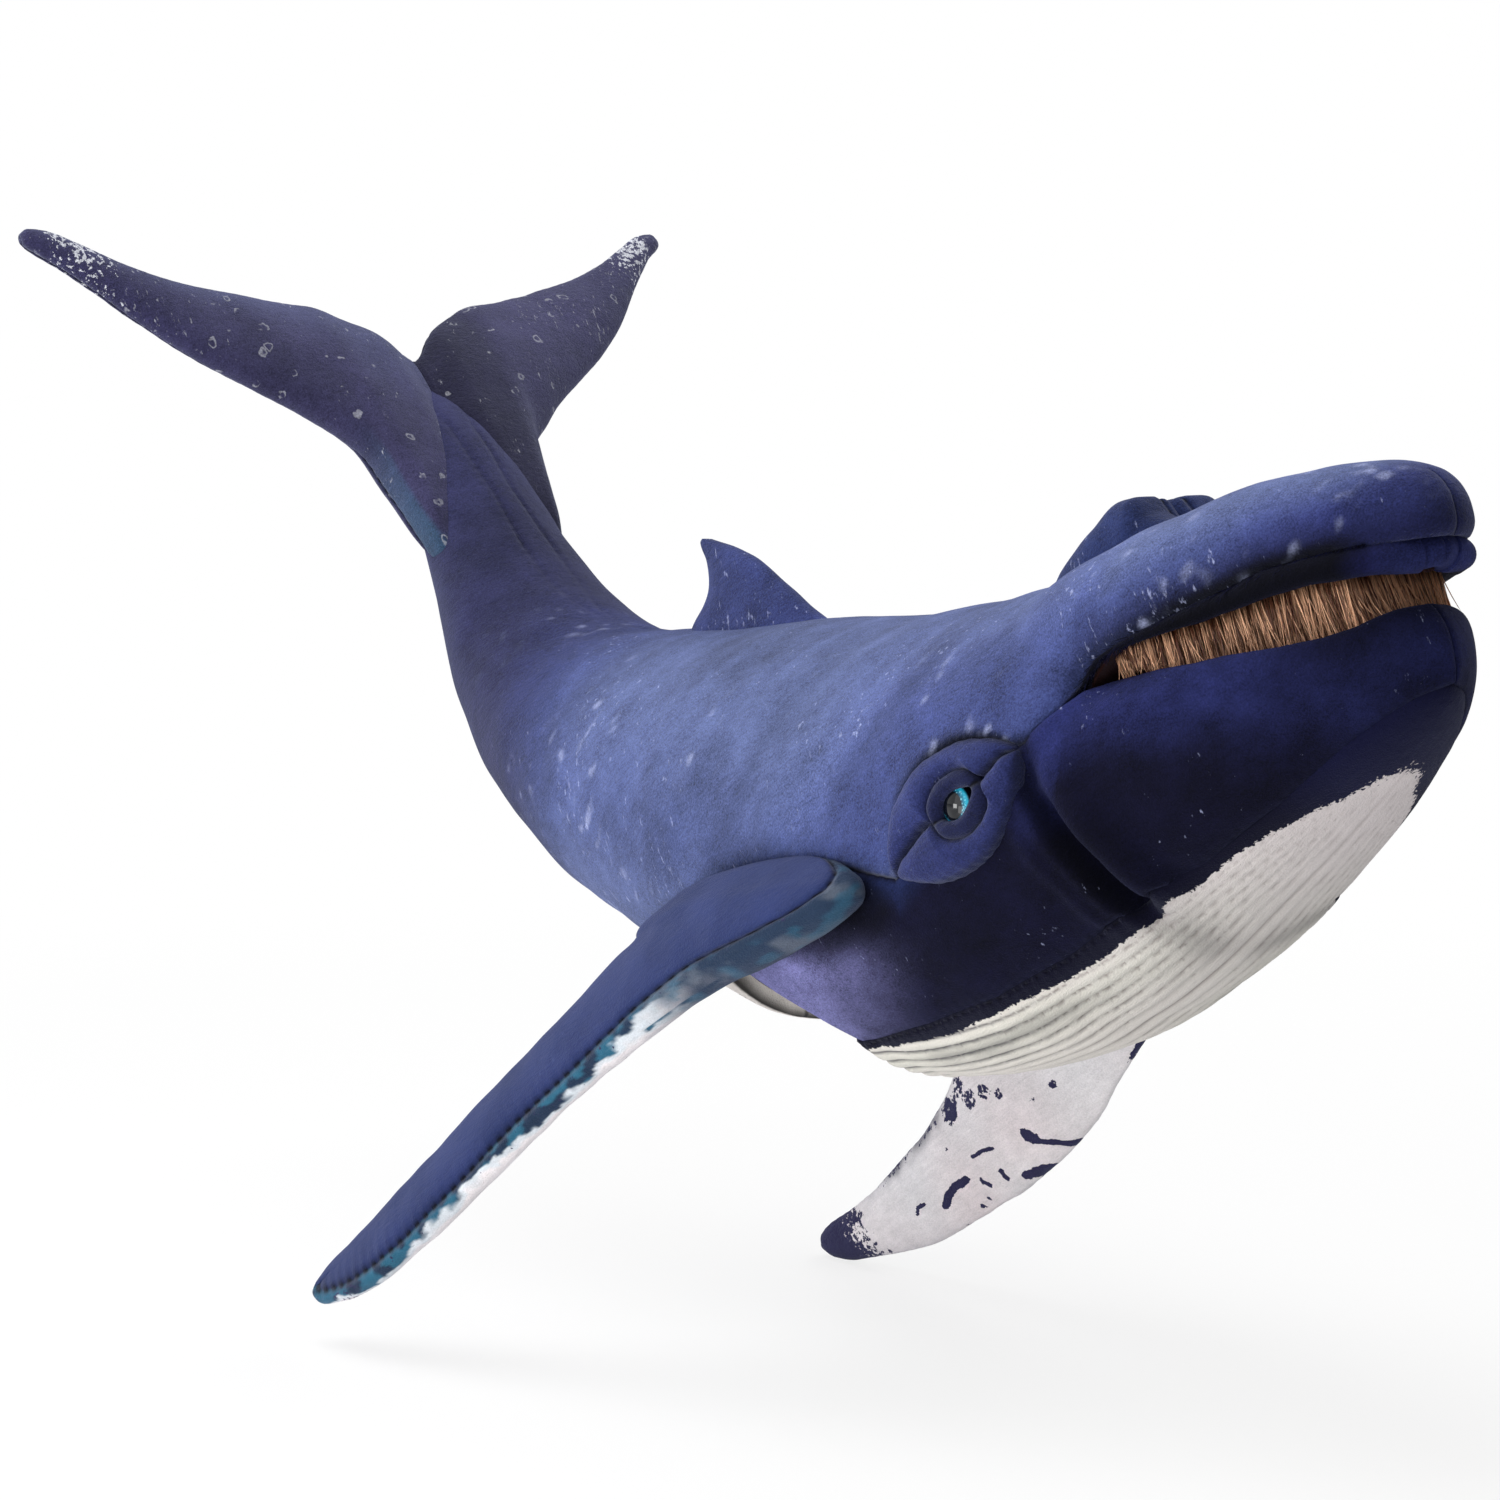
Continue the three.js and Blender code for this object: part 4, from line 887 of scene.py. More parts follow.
@dataclass(frozen=True)
class Velour:
    """A velour finish.

    The dye, with painted light and shade in it, comes from the piece's shade attribute, a second dye
    from print where blotch puts ragged marks, and small pale flecks lie where fleck is high. seam and
    run place its seams.
    """

    name: str
    mottle: float = 0.9
    nap: float = 0.75
    tips: float = 2.2
    roughness: float = 0.9
    sheen: float = 0.18
    sheen_tint: tuple[float, float, float] = (0.6, 0.65, 0.9)
    gloss: float = 0.08
    bump: float = 0.55
    bump_depth: float = 0.0011
    fleck: Ink = Ink.MOON
    fleck_share: float = 0.5
    fleck_edge: float = 0.055
    fleck_scale: float = 430.0
    fleck_stretch: tuple[float, float, float] = (1, 1, 0.32)
    fleck_turn: float = 0.45
    blotch_scale: float = 170.0
    blotch_edge: float = 0.03
    curls: float = 0.0
    curl_share: float = 0.36
    curl_scale: float = 150.0

    def material(self, groups: Groups) -> Material:
        """The finish as a material."""
        stuff, node, shader = new_finish(self.name)
        place = node.place()
        leaned_place = node.place((0, self.fleck_turn, 0), self.fleck_stretch)
        blotch = node.group(groups.marks, {
            "Vector": place, "Density": node.attribute("blotch"), "Scale": self.blotch_scale,
            "Edge": self.blotch_edge})
        flecks = node.group(groups.marks, {
            "Vector": leaned_place, "Density": node.attribute("fleck"),
            "Scale": self.fleck_scale, "Edge": self.fleck_edge})
        colour = node.mix(blotch.outputs[0], node.attribute("shade", True),
                          node.attribute("print", True))
        share = node.math("MULTIPLY", flecks.outputs[0], self.fleck_share)
        colour = node.mix(share, colour, self.fleck.rgb)
        if self.curls:
            curls = node.group(groups.curls, {"Vector": place, "Scale": self.curl_scale,
                                              "Share": self.curls})
            share = node.math("MULTIPLY", curls.outputs[0], self.curl_share)
            colour = node.mix(share, colour, self.fleck.rgb)
        cloth = node.group(groups.pile, {"Colour": colour, "Mottle": self.mottle, "Nap": self.nap,
                                         "Tips": self.tips})
        seam = node.group(groups.seam, {"Distance": node.attribute("seam"),
                                        "Run": node.attribute("run")})
        height = node.math("ADD", cloth.outputs["Height"], seam.outputs["Height"])
        bump = node.add("ShaderNodeBump", {"Height": height, "Strength": self.bump,
                                           "Distance": self.bump_depth})
        node.fill(shader, {
            "Base Color": node.scaled(cloth.outputs["Colour"], seam.outputs["Shade"]),
            "Normal": bump.outputs[0], "Roughness": self.roughness, "Sheen Weight": self.sheen,
            "Sheen Roughness": 0.5, "Sheen Tint": (*self.sheen_tint, 1),
            "Specular IOR Level": self.gloss})
        return stuff


@dataclass
class Skin:
    """A surface with what the velour reads at each of its points."""

    surface: Surface
    shade: Array
    print: Array | None = None
    blotch: Array | None = None
    fleck: Array | None = None
    seam: Array | None = None
    run: Array | None = None

    def piece(self, name: str, material: Material, slot: str, fill: float,
              nodes: Sequence[str] | None = None, body: str = ROOT) -> Piece:
        """The skin as an object that stands for CAD nodes and rides on a body.

        Args:
            name: The piece's name.
            material: Its velour.
            slot: Not used.
            fill: Not used.
            nodes: The CAD nodes that it replaces, if not the one of its own name.
            body: The body that carries it; when empty, none.
        """
        made = as_mesh(name, self.surface)
        count = len(self.surface.points)
        set_attribute(made, "shade", self.shade)
        set_attribute(made, "print", self.shade if self.print is None else self.print)
        for label, values, rest in (("blotch", self.blotch, 0.0), ("fleck", self.fleck, 0.0),
                                    ("seam", self.seam, NO_SEAM), ("run", self.run, 0.0)):
            set_attribute(made, label, np.full(count, rest) if values is None else values)
        made.data.materials.append(material)
        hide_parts(*([name] if nodes is None else nodes))
        if body:
            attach(made, body)
        LOG.info("%s: %d faces", name, len(made.data.polygons))
        return made


def thicken(piece: Piece, metres: float) -> None:
    """Gives a sheet its thickness, away from its normals."""
    wall = piece.modifiers.new("wall", "SOLIDIFY")
    wall.thickness, wall.offset = metres, -1


def almond(u: Array, reach: float, blunt: float) -> Array:
    """Half the height of the eye patch at u: 20.5 * (1 - share^2) to a power for each end."""
    share = (u + 3.5) / reach
    return 20.5 * np.clip(1 - share**2, 0, 1) ** np.where(share < 0, 0.9, blunt)


def root_seam(points: Array) -> tuple[Array, Array]:
    """Distance to a flipper's root seam on the flank, and the way along it.

    The seam is an ellipse in x and z, turned by 9 degrees, about the flipper's root.
    """
    x, z = points[:, 0] - 137, points[:, 2] + 40
    turn = math.radians(9)
    u, v = x * math.cos(turn) + z * math.sin(turn), z * math.cos(turn) - x * math.sin(turn)
    size = np.hypot(u / 46, v / 15)
    steep = np.hypot(u / 46**2, v / 15**2) / np.maximum(size, 1e-6)
    return (size - 1) / np.maximum(steep, 1e-6), np.arctan2(v * 2, u) * 34


@dataclass
class Whale:
    """The sewn skins of trunk, head, belly, cheeks and throat.

    tail_way, jaw_crease and jaw_way are not used.
    """

    velours: Velours
    tail_way: tuple[float, float, float] = (-0.01618, 0, 0.01176)
    jaw_crease: tuple[float, float, float] = (0.168, 0, 0.071)
    jaw_way: tuple[float, float, float] = (0.01128, 0, 0.00408)
    voxel: float = 3.0
    crease_depth: float = 11.0
    pleat_height: float = 1.7
    band_lean: float = 24
    eye_bed: float = 2.25

    def crease(self, points: Array) -> Array:
        """Depth of the fold behind the jaw: a sharp groove, a full front side and ridges behind."""
        apart, along = to_line(points, CREASE)
        share = along / 84
        deep = np.interp(share, [0, 0.15, 0.35, 0.8, 0.95, 1], [0.25, 0.55, 1, 1, 0.5, 0.1])
        near = smooth(20, 4, np.abs(apart)) * deep
        groove = -self.crease_depth * deep * np.exp(-np.abs(apart / 3.6) ** 1.6)
        far = 1 - 0.9 * smooth(0.4, 0.7, share) * (points[:, 1] > 0)
        front = 5.5 * deep * hump(apart, 10.5, 8) * far
        waves = 1.6 * near * np.cos((apart + 6) * 0.62) + 2.5 * deep * hump(apart, -11, 5)
        return groove + front + waves * (apart < -3)

    def lumpy(self, points: Array) -> Array:
        """Gentle unevenness of the stuffing."""
        return 0.8 * lumps(points, 30) + 0.45 * lumps(points, 13, 3)

    def bands(self, points: Array) -> Array:
        """Soft slanted bands round the girth, from noise stretched along a leaning direction."""
        turned = leaned(points, self.band_lean)
        return lumps(turned, (13, 90, 60), 5) * 0.6 + lumps(turned, (6, 50, 30), 9) * 0.4

    def smudges(self, points: Array) -> Array:
        """Pale rubbed patches a few millimetres wide, in loose clusters, from 0 to 1."""
        turned = leaned(points, self.band_lean)
        small = lumps(turned, (4.5, 7, 8), 25) + 0.5 * lumps(turned, (2.4, 4, 4), 26)
        return smooth(0.45, 1.0, small) * smooth(-0.1, 0.5, lumps(turned, (30, 40, 40), 27))

    def back(self, over: Surface) -> Skin:
        """Blue skin from the tail stock to the snout."""
        points = over.points
        stock, _ = to_line(points, STOCK_SEAM)
        nose = self.nose_seam(points)
        heights = self.lumpy(points) * smooth(366, 330, points[:, 0])
        heights -= 1.1 * hump(stock, 0, 1.5)
        heights -= 0.6 * hump(nose, 0, 1.5)
        border = np.maximum(BULKHEAD - points[:, 0], OVER_MOUTH(points))
        along = run_along(UPPER_LINE, points[:, 0])
        root = smooth(80, 100, points[:, 0]) * smooth(205, 180, points[:, 0])
        uneven = 0.6 + 0.4 * lumps(points, 12, 17)
        pucker = (0.08 + 0.34 * root) * uneven * np.exp(-np.abs(border) / 3.6)
        heights += pucker * np.cos(along * 1.366)
        heights -= self.eye_bed * smooth(-2.5, 3, self.eye_edge(points))
        shape = panel(over.raised(heights), lambda p: np.maximum(BULKHEAD - p[:, 0], OVER_MOUTH(p)),
                      Rim(1.9, 6, 9), 1.5)
        points = shape.points
        x, _, z = points.T
        middle = column(np.array(BODY, float), x)
        base = plain(Ink.FLANK, points)
        # Paler on top: partly the back's dye, partly painted light from above.
        base = dyed(base, Ink.BACK, smooth(-5, 50, z - middle) * smooth(-110, -10, x))
        # Darker towards the rear: partly the dye, partly painted shade on the side facing away from the
        # light.
        base = dyed(base, Ink.REAR, smooth(-5, -100, x - 0.35 * (z - 20)))
        base = dyed(base, Ink.STOCK, smooth(-62, -128, x + 0.3 * (z - 60)))
        base = toned(base, 0.35 * smooth(-145, -185, x))
        # Darker towards the snout: partly the dye, partly painted shade on the front, which faces away
        # from the light.
        base = dyed(base, Ink.HEAD, smooth(165, 235, x - 0.9 * (z - 40)) * 0.85)
        base = dyed(base, Ink.SNOUT, smooth(290, 345, x))
        lip = OVER_MOUTH(points)
        base = dyed(base, Ink.MIST, 0.85 * smooth(12, 30, lip) * smooth(235, 270, x)
                    * smooth(354, 335, x))
        # Over the mouth: darker pile along the cut edge, deepened by painted shadow under the upper
        # jaw's edge.
        base = dyed(base, Ink.NOSE, smooth(18, 4, lip) * smooth(236, 262, x) * 0.8)
        base = dyed(base, Ink.GAP, smooth(8, 2.5, lip) * smooth(240, 256, x)
                    * smooth(352, 338, x) * 0.97)
        # Darker at the nose tip: partly the dye, partly painted shade on the front.
        base = dyed(base, Ink.NOSE, smooth(346, 362, x) * 0.5)
        # Painted shade: the neck under the head drawn to the darker head dye.
        base = dyed(base, Ink.HEAD, smooth(118, 195, x) * smooth(78, 30, z) * 0.8)
        # Painted shadow along the eye patch's outline, mostly just outside it.
        base = toned(base, -0.9 * hump(self.eye_edge(points), -1.2, 3.2))
        base = dyed(base, Ink.FLIPPER, smooth(14, 2, np.abs(lip)) * smooth(60, 100, x)
                    * smooth(240, 190, x) * 0.6)
        band = self.bands(points)
        base = toned(base, 0.34 * band * smooth(-230, -60, x) * smooth(320, 230, x))
        low = smooth(0, -50, z - middle) * smooth(-190, -60, x)
        base = dyed(base, Ink.MIST, low * smooth(-90, -20, x) * 0.8)
        worn = self.smudges(points) * smooth(-140, -70, x)
        base = dyed(base, Ink.MOON, 0.4 * worn)
        stock, run = to_line(points, STOCK_SEAM)
        nose = self.nose_seam(points)
        seam = np.minimum(np.abs(nose) + 0.7, np.abs(stock))
        seam = np.minimum(seam, np.abs(self.eye_edge(points)) + 0.1)
        border = np.abs(np.maximum(BULKHEAD - x, OVER_MOUTH(points)))
        seam = np.minimum(seam, np.where(x < 246, border, NO_SEAM))
        run = np.where(np.abs(stock) < 12, run, run_along(UPPER_LINE, x))
        fleck = (0.15 + 0.16 * lumps(points, 26, 11) + 0.08 * band) * smooth(-130, -60, x)
        return Skin(shape, base, fleck=np.clip(fleck, 0, 0.36), seam=seam, run=run)

    def nose_seam(self, points: Array) -> Array:
        """Distance from the seam down the middle of the nose, in front of and over the lip."""
        away = np.maximum(np.maximum(353 - points[:, 0], 93 - points[:, 2]), 0)
        return np.abs(points[:, 1]) + 2 * away

    def eye_edge(self, points: Array) -> Array:
        """Distance inside the almond outline of the eye patch, negative outside it."""
        turn = math.radians(EYE_TURN)
        x, z = points[:, 0] - EYE_MIDDLE[0], points[:, 2] - EYE_MIDDLE[1]
        u, v = x * math.cos(turn) + z * math.sin(turn), z * math.cos(turn) - x * math.sin(turn)
        past = np.maximum(np.abs(u + 3.5) - 34.5, 0)
        return np.where(np.abs(points[:, 1]) > 30, almond(u, 34.5, 0.75) - np.hypot(v, past), -99)

    def belly(self, over: Surface) -> Skin:
        """White skin between the trunk's filling and the hand opening, dark by the cheeks."""
        def inside(p: Array) -> Array:
            """Ahead of the bulkhead, behind the belly's edge and under the side seam."""
            return np.minimum.reduce([p[:, 0] - BULKHEAD, BELLY_EDGE - p[:, 0], -OVER_MOUTH(p)])
        shape = panel(over.raised(self.lumpy(over.points)), inside, Rim(1.4, 5, 6), 1.5)
        points = shape.points
        density = smooth(-72, -60, points[:, 2])
        return Skin(shape, plain(Ink.WHITE, points), plain(Ink.CHEEK, points), density,
                    seam=np.abs(inside(points)), run=points[:, 0])

    def pleats(self, points: Array) -> tuple[Array, Array]:
        """Place across the throat's pleats, and how strong they are.

        The ring's own angle from the keel is divided by the pitch of a pleat, which closes up
        towards the chin.
        """
        x = points[:, 0]
        trunk, head = ([column(resampled(rows, 200), x, k) for k in (1, 3, 5, 6)]
                       for rows in (BODY, LOWER_HEAD))
        share = smooth(215, 262, x)
        centre, width, down, power = (a + (b - a) * share for a, b in zip(trunk, head))
        across = (np.abs(points[:, 1]) / width) ** (power / 2)
        drop = np.clip((centre - points[:, 2]) / down, 1e-3, None) ** (power / 2)
        angle = np.degrees(np.arctan2(across, drop)) * np.sign(points[:, 1])
        pitch = np.interp(x, [130, 240, 350], [5.6, 5.0, 4.4])
        strength = np.interp(x, [130, 200, 260, 320, 350], [1, 1, 0.75, 0.4, 0.15])
        return angle / pitch, strength

    def throat(self, under: Surface) -> Skin:
        """White pleated skin from the hem to the chin, with a dark band along its seam."""
        points = under.points
        place, strength = self.pleats(points)
        white = smooth(1, -5, OVER_PRINT(points))
        rib = np.abs(np.sin(math.pi * place)) ** 0.55 - 0.7
        heights = self.pleat_height * rib * strength * white
        heights += 0.5 * self.crease(points) * smooth(-14, 0, OVER_THROAT(points))
        heights += 1.2 * smooth(HEM_EDGE + 10, HEM_EDGE, points[:, 0])

        def inside(p: Array) -> Array:
            """Ahead of the hem and under the throat's seam."""
            return np.minimum(p[:, 0] - HEM_EDGE + 3, -OVER_THROAT(p))
        shape = panel(under.raised(heights), inside, Rim(0.9, 3, 7, 1.4), 1.5)
        points = shape.points
        x = points[:, 0]
        place, strength = self.pleats(points)
        edge = OVER_PRINT(points)
        base = plain(Ink.WHITE, points)
        # Pinker and darker towards the chin: partly the cloth's warmer tint, partly painted shade.
        base = dyed(base, Ink.DIM, smooth(190, 290, x) * 0.8)
        base = dyed(base, Ink.SAGE, hump(edge, -6, 7) * smooth(340, 250, x) * 0.4)
        dip = np.abs(place - np.round(place))
        groove = hump(dip, 0, 0.06) * strength
        first = smooth(-22, -8, edge) * smooth(255, 175, x)
        base = dyed(base, Ink.CHEEK, hump(dip, 0, 0.12) * 0.9 * first)
        # Painted shade in the pleats' grooves, slightly brownish; the first grooves above take the navy
        # print.
        rest = np.clip(groove * (0.85 - 0.35 * smooth(200, 300, x)), 0, 1) * (1 - first)
        base = base * (1 - rest[:, None] * [0.92, 1.0, 1.0])
        smear = (hump(edge + 0.7 * lumps(points, 7, 2), -6.5, 2.6) * smooth(262, 215, x)
                 * smooth(150, 172, x))
        base = dyed(base, Ink.CHEEK, 0.35 * smear)
        shadow, _ = to_line(points, CREASE)
        base = toned(base, -0.35 * hump(shadow, 0, 9) * smooth(-40, -5, edge) * (x > 235))
        density = smooth(-1.3, 1.3, edge + 0.5 * lumps(points, 9, 2))
        seam = np.where(x > 270, NO_SEAM, np.abs(OVER_THROAT(points)) + 0.5)
        dark = dyed(plain(Ink.JAW, points), Ink.NOSE, smooth(315, 340, x) * 0.6)
        return Skin(shape, base, dark, density, seam=seam,
                    run=run_along(THROAT_SEAM, x))

    def cheek(self, under: Surface, side: int) -> Skin:
        """Dark skin of one cheek and half of the lower jaw."""
        points = under.points
        heights = self.crease(points) + 0.6 * self.lumpy(points)
        heights += 0.9 * hump(points[:, 1], 0, 2.5) * smooth(325, 345, points[:, 0])
        dimple = np.linalg.norm((points * [1, 0, 1]) - [285, 0, -14], axis=1)
        heights -= 2.2 * hump(dimple, 0, 7) * (np.abs(points[:, 1]) > 20)

        def inside(p: Array) -> Array:
            """Ahead of the belly, under the lower lip, over the throat's seam, on one side."""
            return np.minimum.reduce([p[:, 0] - BELLY_EDGE, -OVER_CHIN(p), OVER_THROAT(p),
                                      side * p[:, 1]])
        shape = panel(under.raised(heights), inside, Rim(1.1, 3.5, 9), 1.5)
        points = shape.points
        x, y, z = points.T
        # Cheek and jaw dyes: dark navy, darker still as painted shade on this side.
        base = plain(Ink.CHEEK, points)
        apart, along = to_line(points, CREASE)
        base = dyed(base, Ink.JAW, smooth(-4, 6, apart) * smooth(215, 250, x))
        lip = -OVER_CHIN(points)
        # Painted highlights: lighter bands along the lower lip's upper edge and on the jaw's front.
        base = dyed(base, Ink.LIP, smooth(30, 6, lip) * smooth(232, 250, x)
                    * smooth(345, 300, x))
        base = dyed(base, Ink.LIP, hump(lip, 14, 12) * smooth(262, 285, x)
                    * smooth(330, 290, x) * 0.6)
        base = dyed(base, Ink.LIP, 0.4 * hump(lip, 18, 14) * smooth(300, 325, x))
        # Painted light: the lower rear of the cheek as if lit from below.
        base = dyed(base, Ink.CHEEK_LOW, smooth(182, 105, x - 0.6 * (z + 80))
                    * smooth(-38, -62, z) * 0.9)
        base = dyed(base, Ink.FLIPPER, smooth(12, 0, lip) * smooth(232, 195, x) * 0.7)
        # Painted shade in the crease behind the jaw.
        deep = np.interp(along / 84, [0, 0.15, 0.4, 0.8, 1], [0.4, 0.8, 1, 1, 0.2])
        base = toned(base, -0.9 * deep * hump(apart, -1.0, 6.5))
        base = toned(base, 0.22 * lumps(points, (18, 18, 14), 21) + 0.14 * lumps(points, 7, 22))
        # Painted shadow where the flipper's root lies against the cheek.
        apart, _ = root_seam(points)
        base = toned(base, -0.6 * smooth(6, -2, apart))
        seam = np.minimum.reduce([x - BELLY_EDGE, lip, OVER_THROAT(points), np.abs(y) + 0.8])
        seam = np.where((x > 244) & (lip < 4), NO_SEAM, np.abs(seam) + 0.4)
        run = np.where((np.abs(y) < 8) & (x > 330), z, run_along(THROAT_SEAM, x))
        fleck = np.clip(0.1 + 0.1 * lumps(points, 20, 12), 0, 0.2)
        return Skin(shape, np.maximum(base, 0.001), fleck=fleck, seam=seam, run=run)

    def filled(self, rings: Array, cap: float) -> Array:
        """Rings stuffed between the seams, which hold them."""
        points = rings.reshape(-1, 3)
        stock, _ = to_line(points, STOCK_SEAM)
        apart = np.minimum.reduce([np.abs(OVER_MOUTH(points)), np.abs(OVER_CHIN(points)),
                                   np.abs(OVER_THROAT(points)), np.abs(stock),
                                   np.abs(self.eye_edge(points))])
        held = smooth(7, 2, apart)
        held = np.maximum(held, smooth(5, 1, from_ends(len(rings)).repeat(rings.shape[1])))
        slimmer = rings + (rings.mean(1, keepdims=True) - rings) * 0.008
        return stuffed(slimmer, held, cap)

    def build(self) -> None:
        """Makes the skins; the belly rides on the trunk and head, and the others on no body."""
        trunk = loft(self.filled(trunk_rings(BODY, 90, 96), 3.0))
        upper = loft(self.filled(trunk_rings(UPPER_HEAD, 60, 96, crowd=1.6), 1.5))
        lower = loft(self.filled(trunk_rings(LOWER_HEAD, 60, 96, crowd=1.6), 1.5))
        over = divided(fused([trunk, upper], self.voxel))
        under = divided(fused([trunk, lower], self.voxel))
        LOG.info("skins of %d and %d points", len(over.points), len(under.points))
        back = self.back(over).piece(
            "back_skin", self.velours["flank"], "velour_flank", 0.9, (
                "trunk_skin", "trunk_stuffing", "tail_stock", "tail_fold", "back_panel",
                "upper_jaw", "nose_cap"), "")
        self.belly(over).piece("belly_skin", self.velours["throat"], "velour_throat", 0.7,
                               ["belly_panel"])
        throat = self.throat(under).piece(
            "throat_skin", self.velours["throat"], "velour_throat", 0.7,
            ("throat_panel_rear", "throat_fold", "throat_panel_front", "throat_hem"), "")
        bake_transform(back)
        jawed = [throat]
        for name, side in SIDES:
            jawed.append(self.cheek(under, side).piece(
                f"cheek_skin_{name}", self.velours["jowl"], "velour_jowl", 0.8, (
                    f"cheek_panel_{name}", f"cheek_fold_{name}", f"jaw_panel_{name}"), ""))
        for piece in jawed:
            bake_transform(piece)


def puckers(seam: Array, span: Array, height: float) -> Array:
    """Small waves along a seam, which fade beside it."""
    return height * np.cos(span * 1.3) * np.exp(-np.abs(seam) / 2.2)


def half_at(sizes: Array, share: Array) -> Array:
    """Half of a limb's width or thickness at places from root to tip."""
    return np.interp(share, np.linspace(0, 1, len(sizes)), sizes / 2)


@dataclass
class Limb:
    """A flat stuffed form of two panels: rings of width * cos along a chord, thickness * sin
    along a normal."""

    centre: Array
    chord: Array
    normal: Array
    width: Array
    thickness: Array
    around: int = 160
    cap: float = 3.0
    coarse: tuple[int, int] = (56, 48)

    def sewn(self, count: int, around: int) -> tuple[Array, Array]:
        """Rings of the sewn form before it is stuffed, and their angles."""
        angle = circle(around)
        angle = (angle - 0.22 * np.sin(2 * angle))[None, :, None]
        place = np.linspace(0, 1, len(self.centre))
        at = np.linspace(0, 1, count)
        centre, chord, normal = (along_path(part, place, at)[:, None]
                                 for part in (self.centre, self.chord, self.normal))
        width, thickness = (np.interp(at, place, part)[:, None, None] / 2
                            for part in (self.width, self.thickness))
        rise = signed_power(np.sin(angle), 0.85) * thickness
        return centre + chord * np.cos(angle) * width + normal * rise, angle

    def grid(self) -> tuple[Surface, Array, Array, Array]:
        """The form, and at each point its ring from 0 to 1, its place along the chord in
        millimetres, and its sine round the ring."""
        rings, angle = self.sewn(len(self.centre), self.around)
        coarse, turn = self.sewn(*self.coarse)
        held = np.maximum(smooth(0.35, 0.05, np.abs(np.sin(turn[..., 0]))),
                          smooth(4, 1, from_ends(len(coarse)))[:, None])
        moved = stuffed(coarse, held, self.cap) - coarse
        count = len(self.centre)
        form = loft(rings + finer_rings(moved, count, self.around))
        place = np.concatenate([[0], np.linspace(0, 1, count), [1]])
        wide = np.concatenate([[0], self.width, [0]]) / 2
        across = (wide[:, None] * np.cos(angle[..., 0])).ravel()
        sine = np.tile(np.sin(angle[0, :, 0]), count + 2)
        return form, np.repeat(place, self.around), across, sine


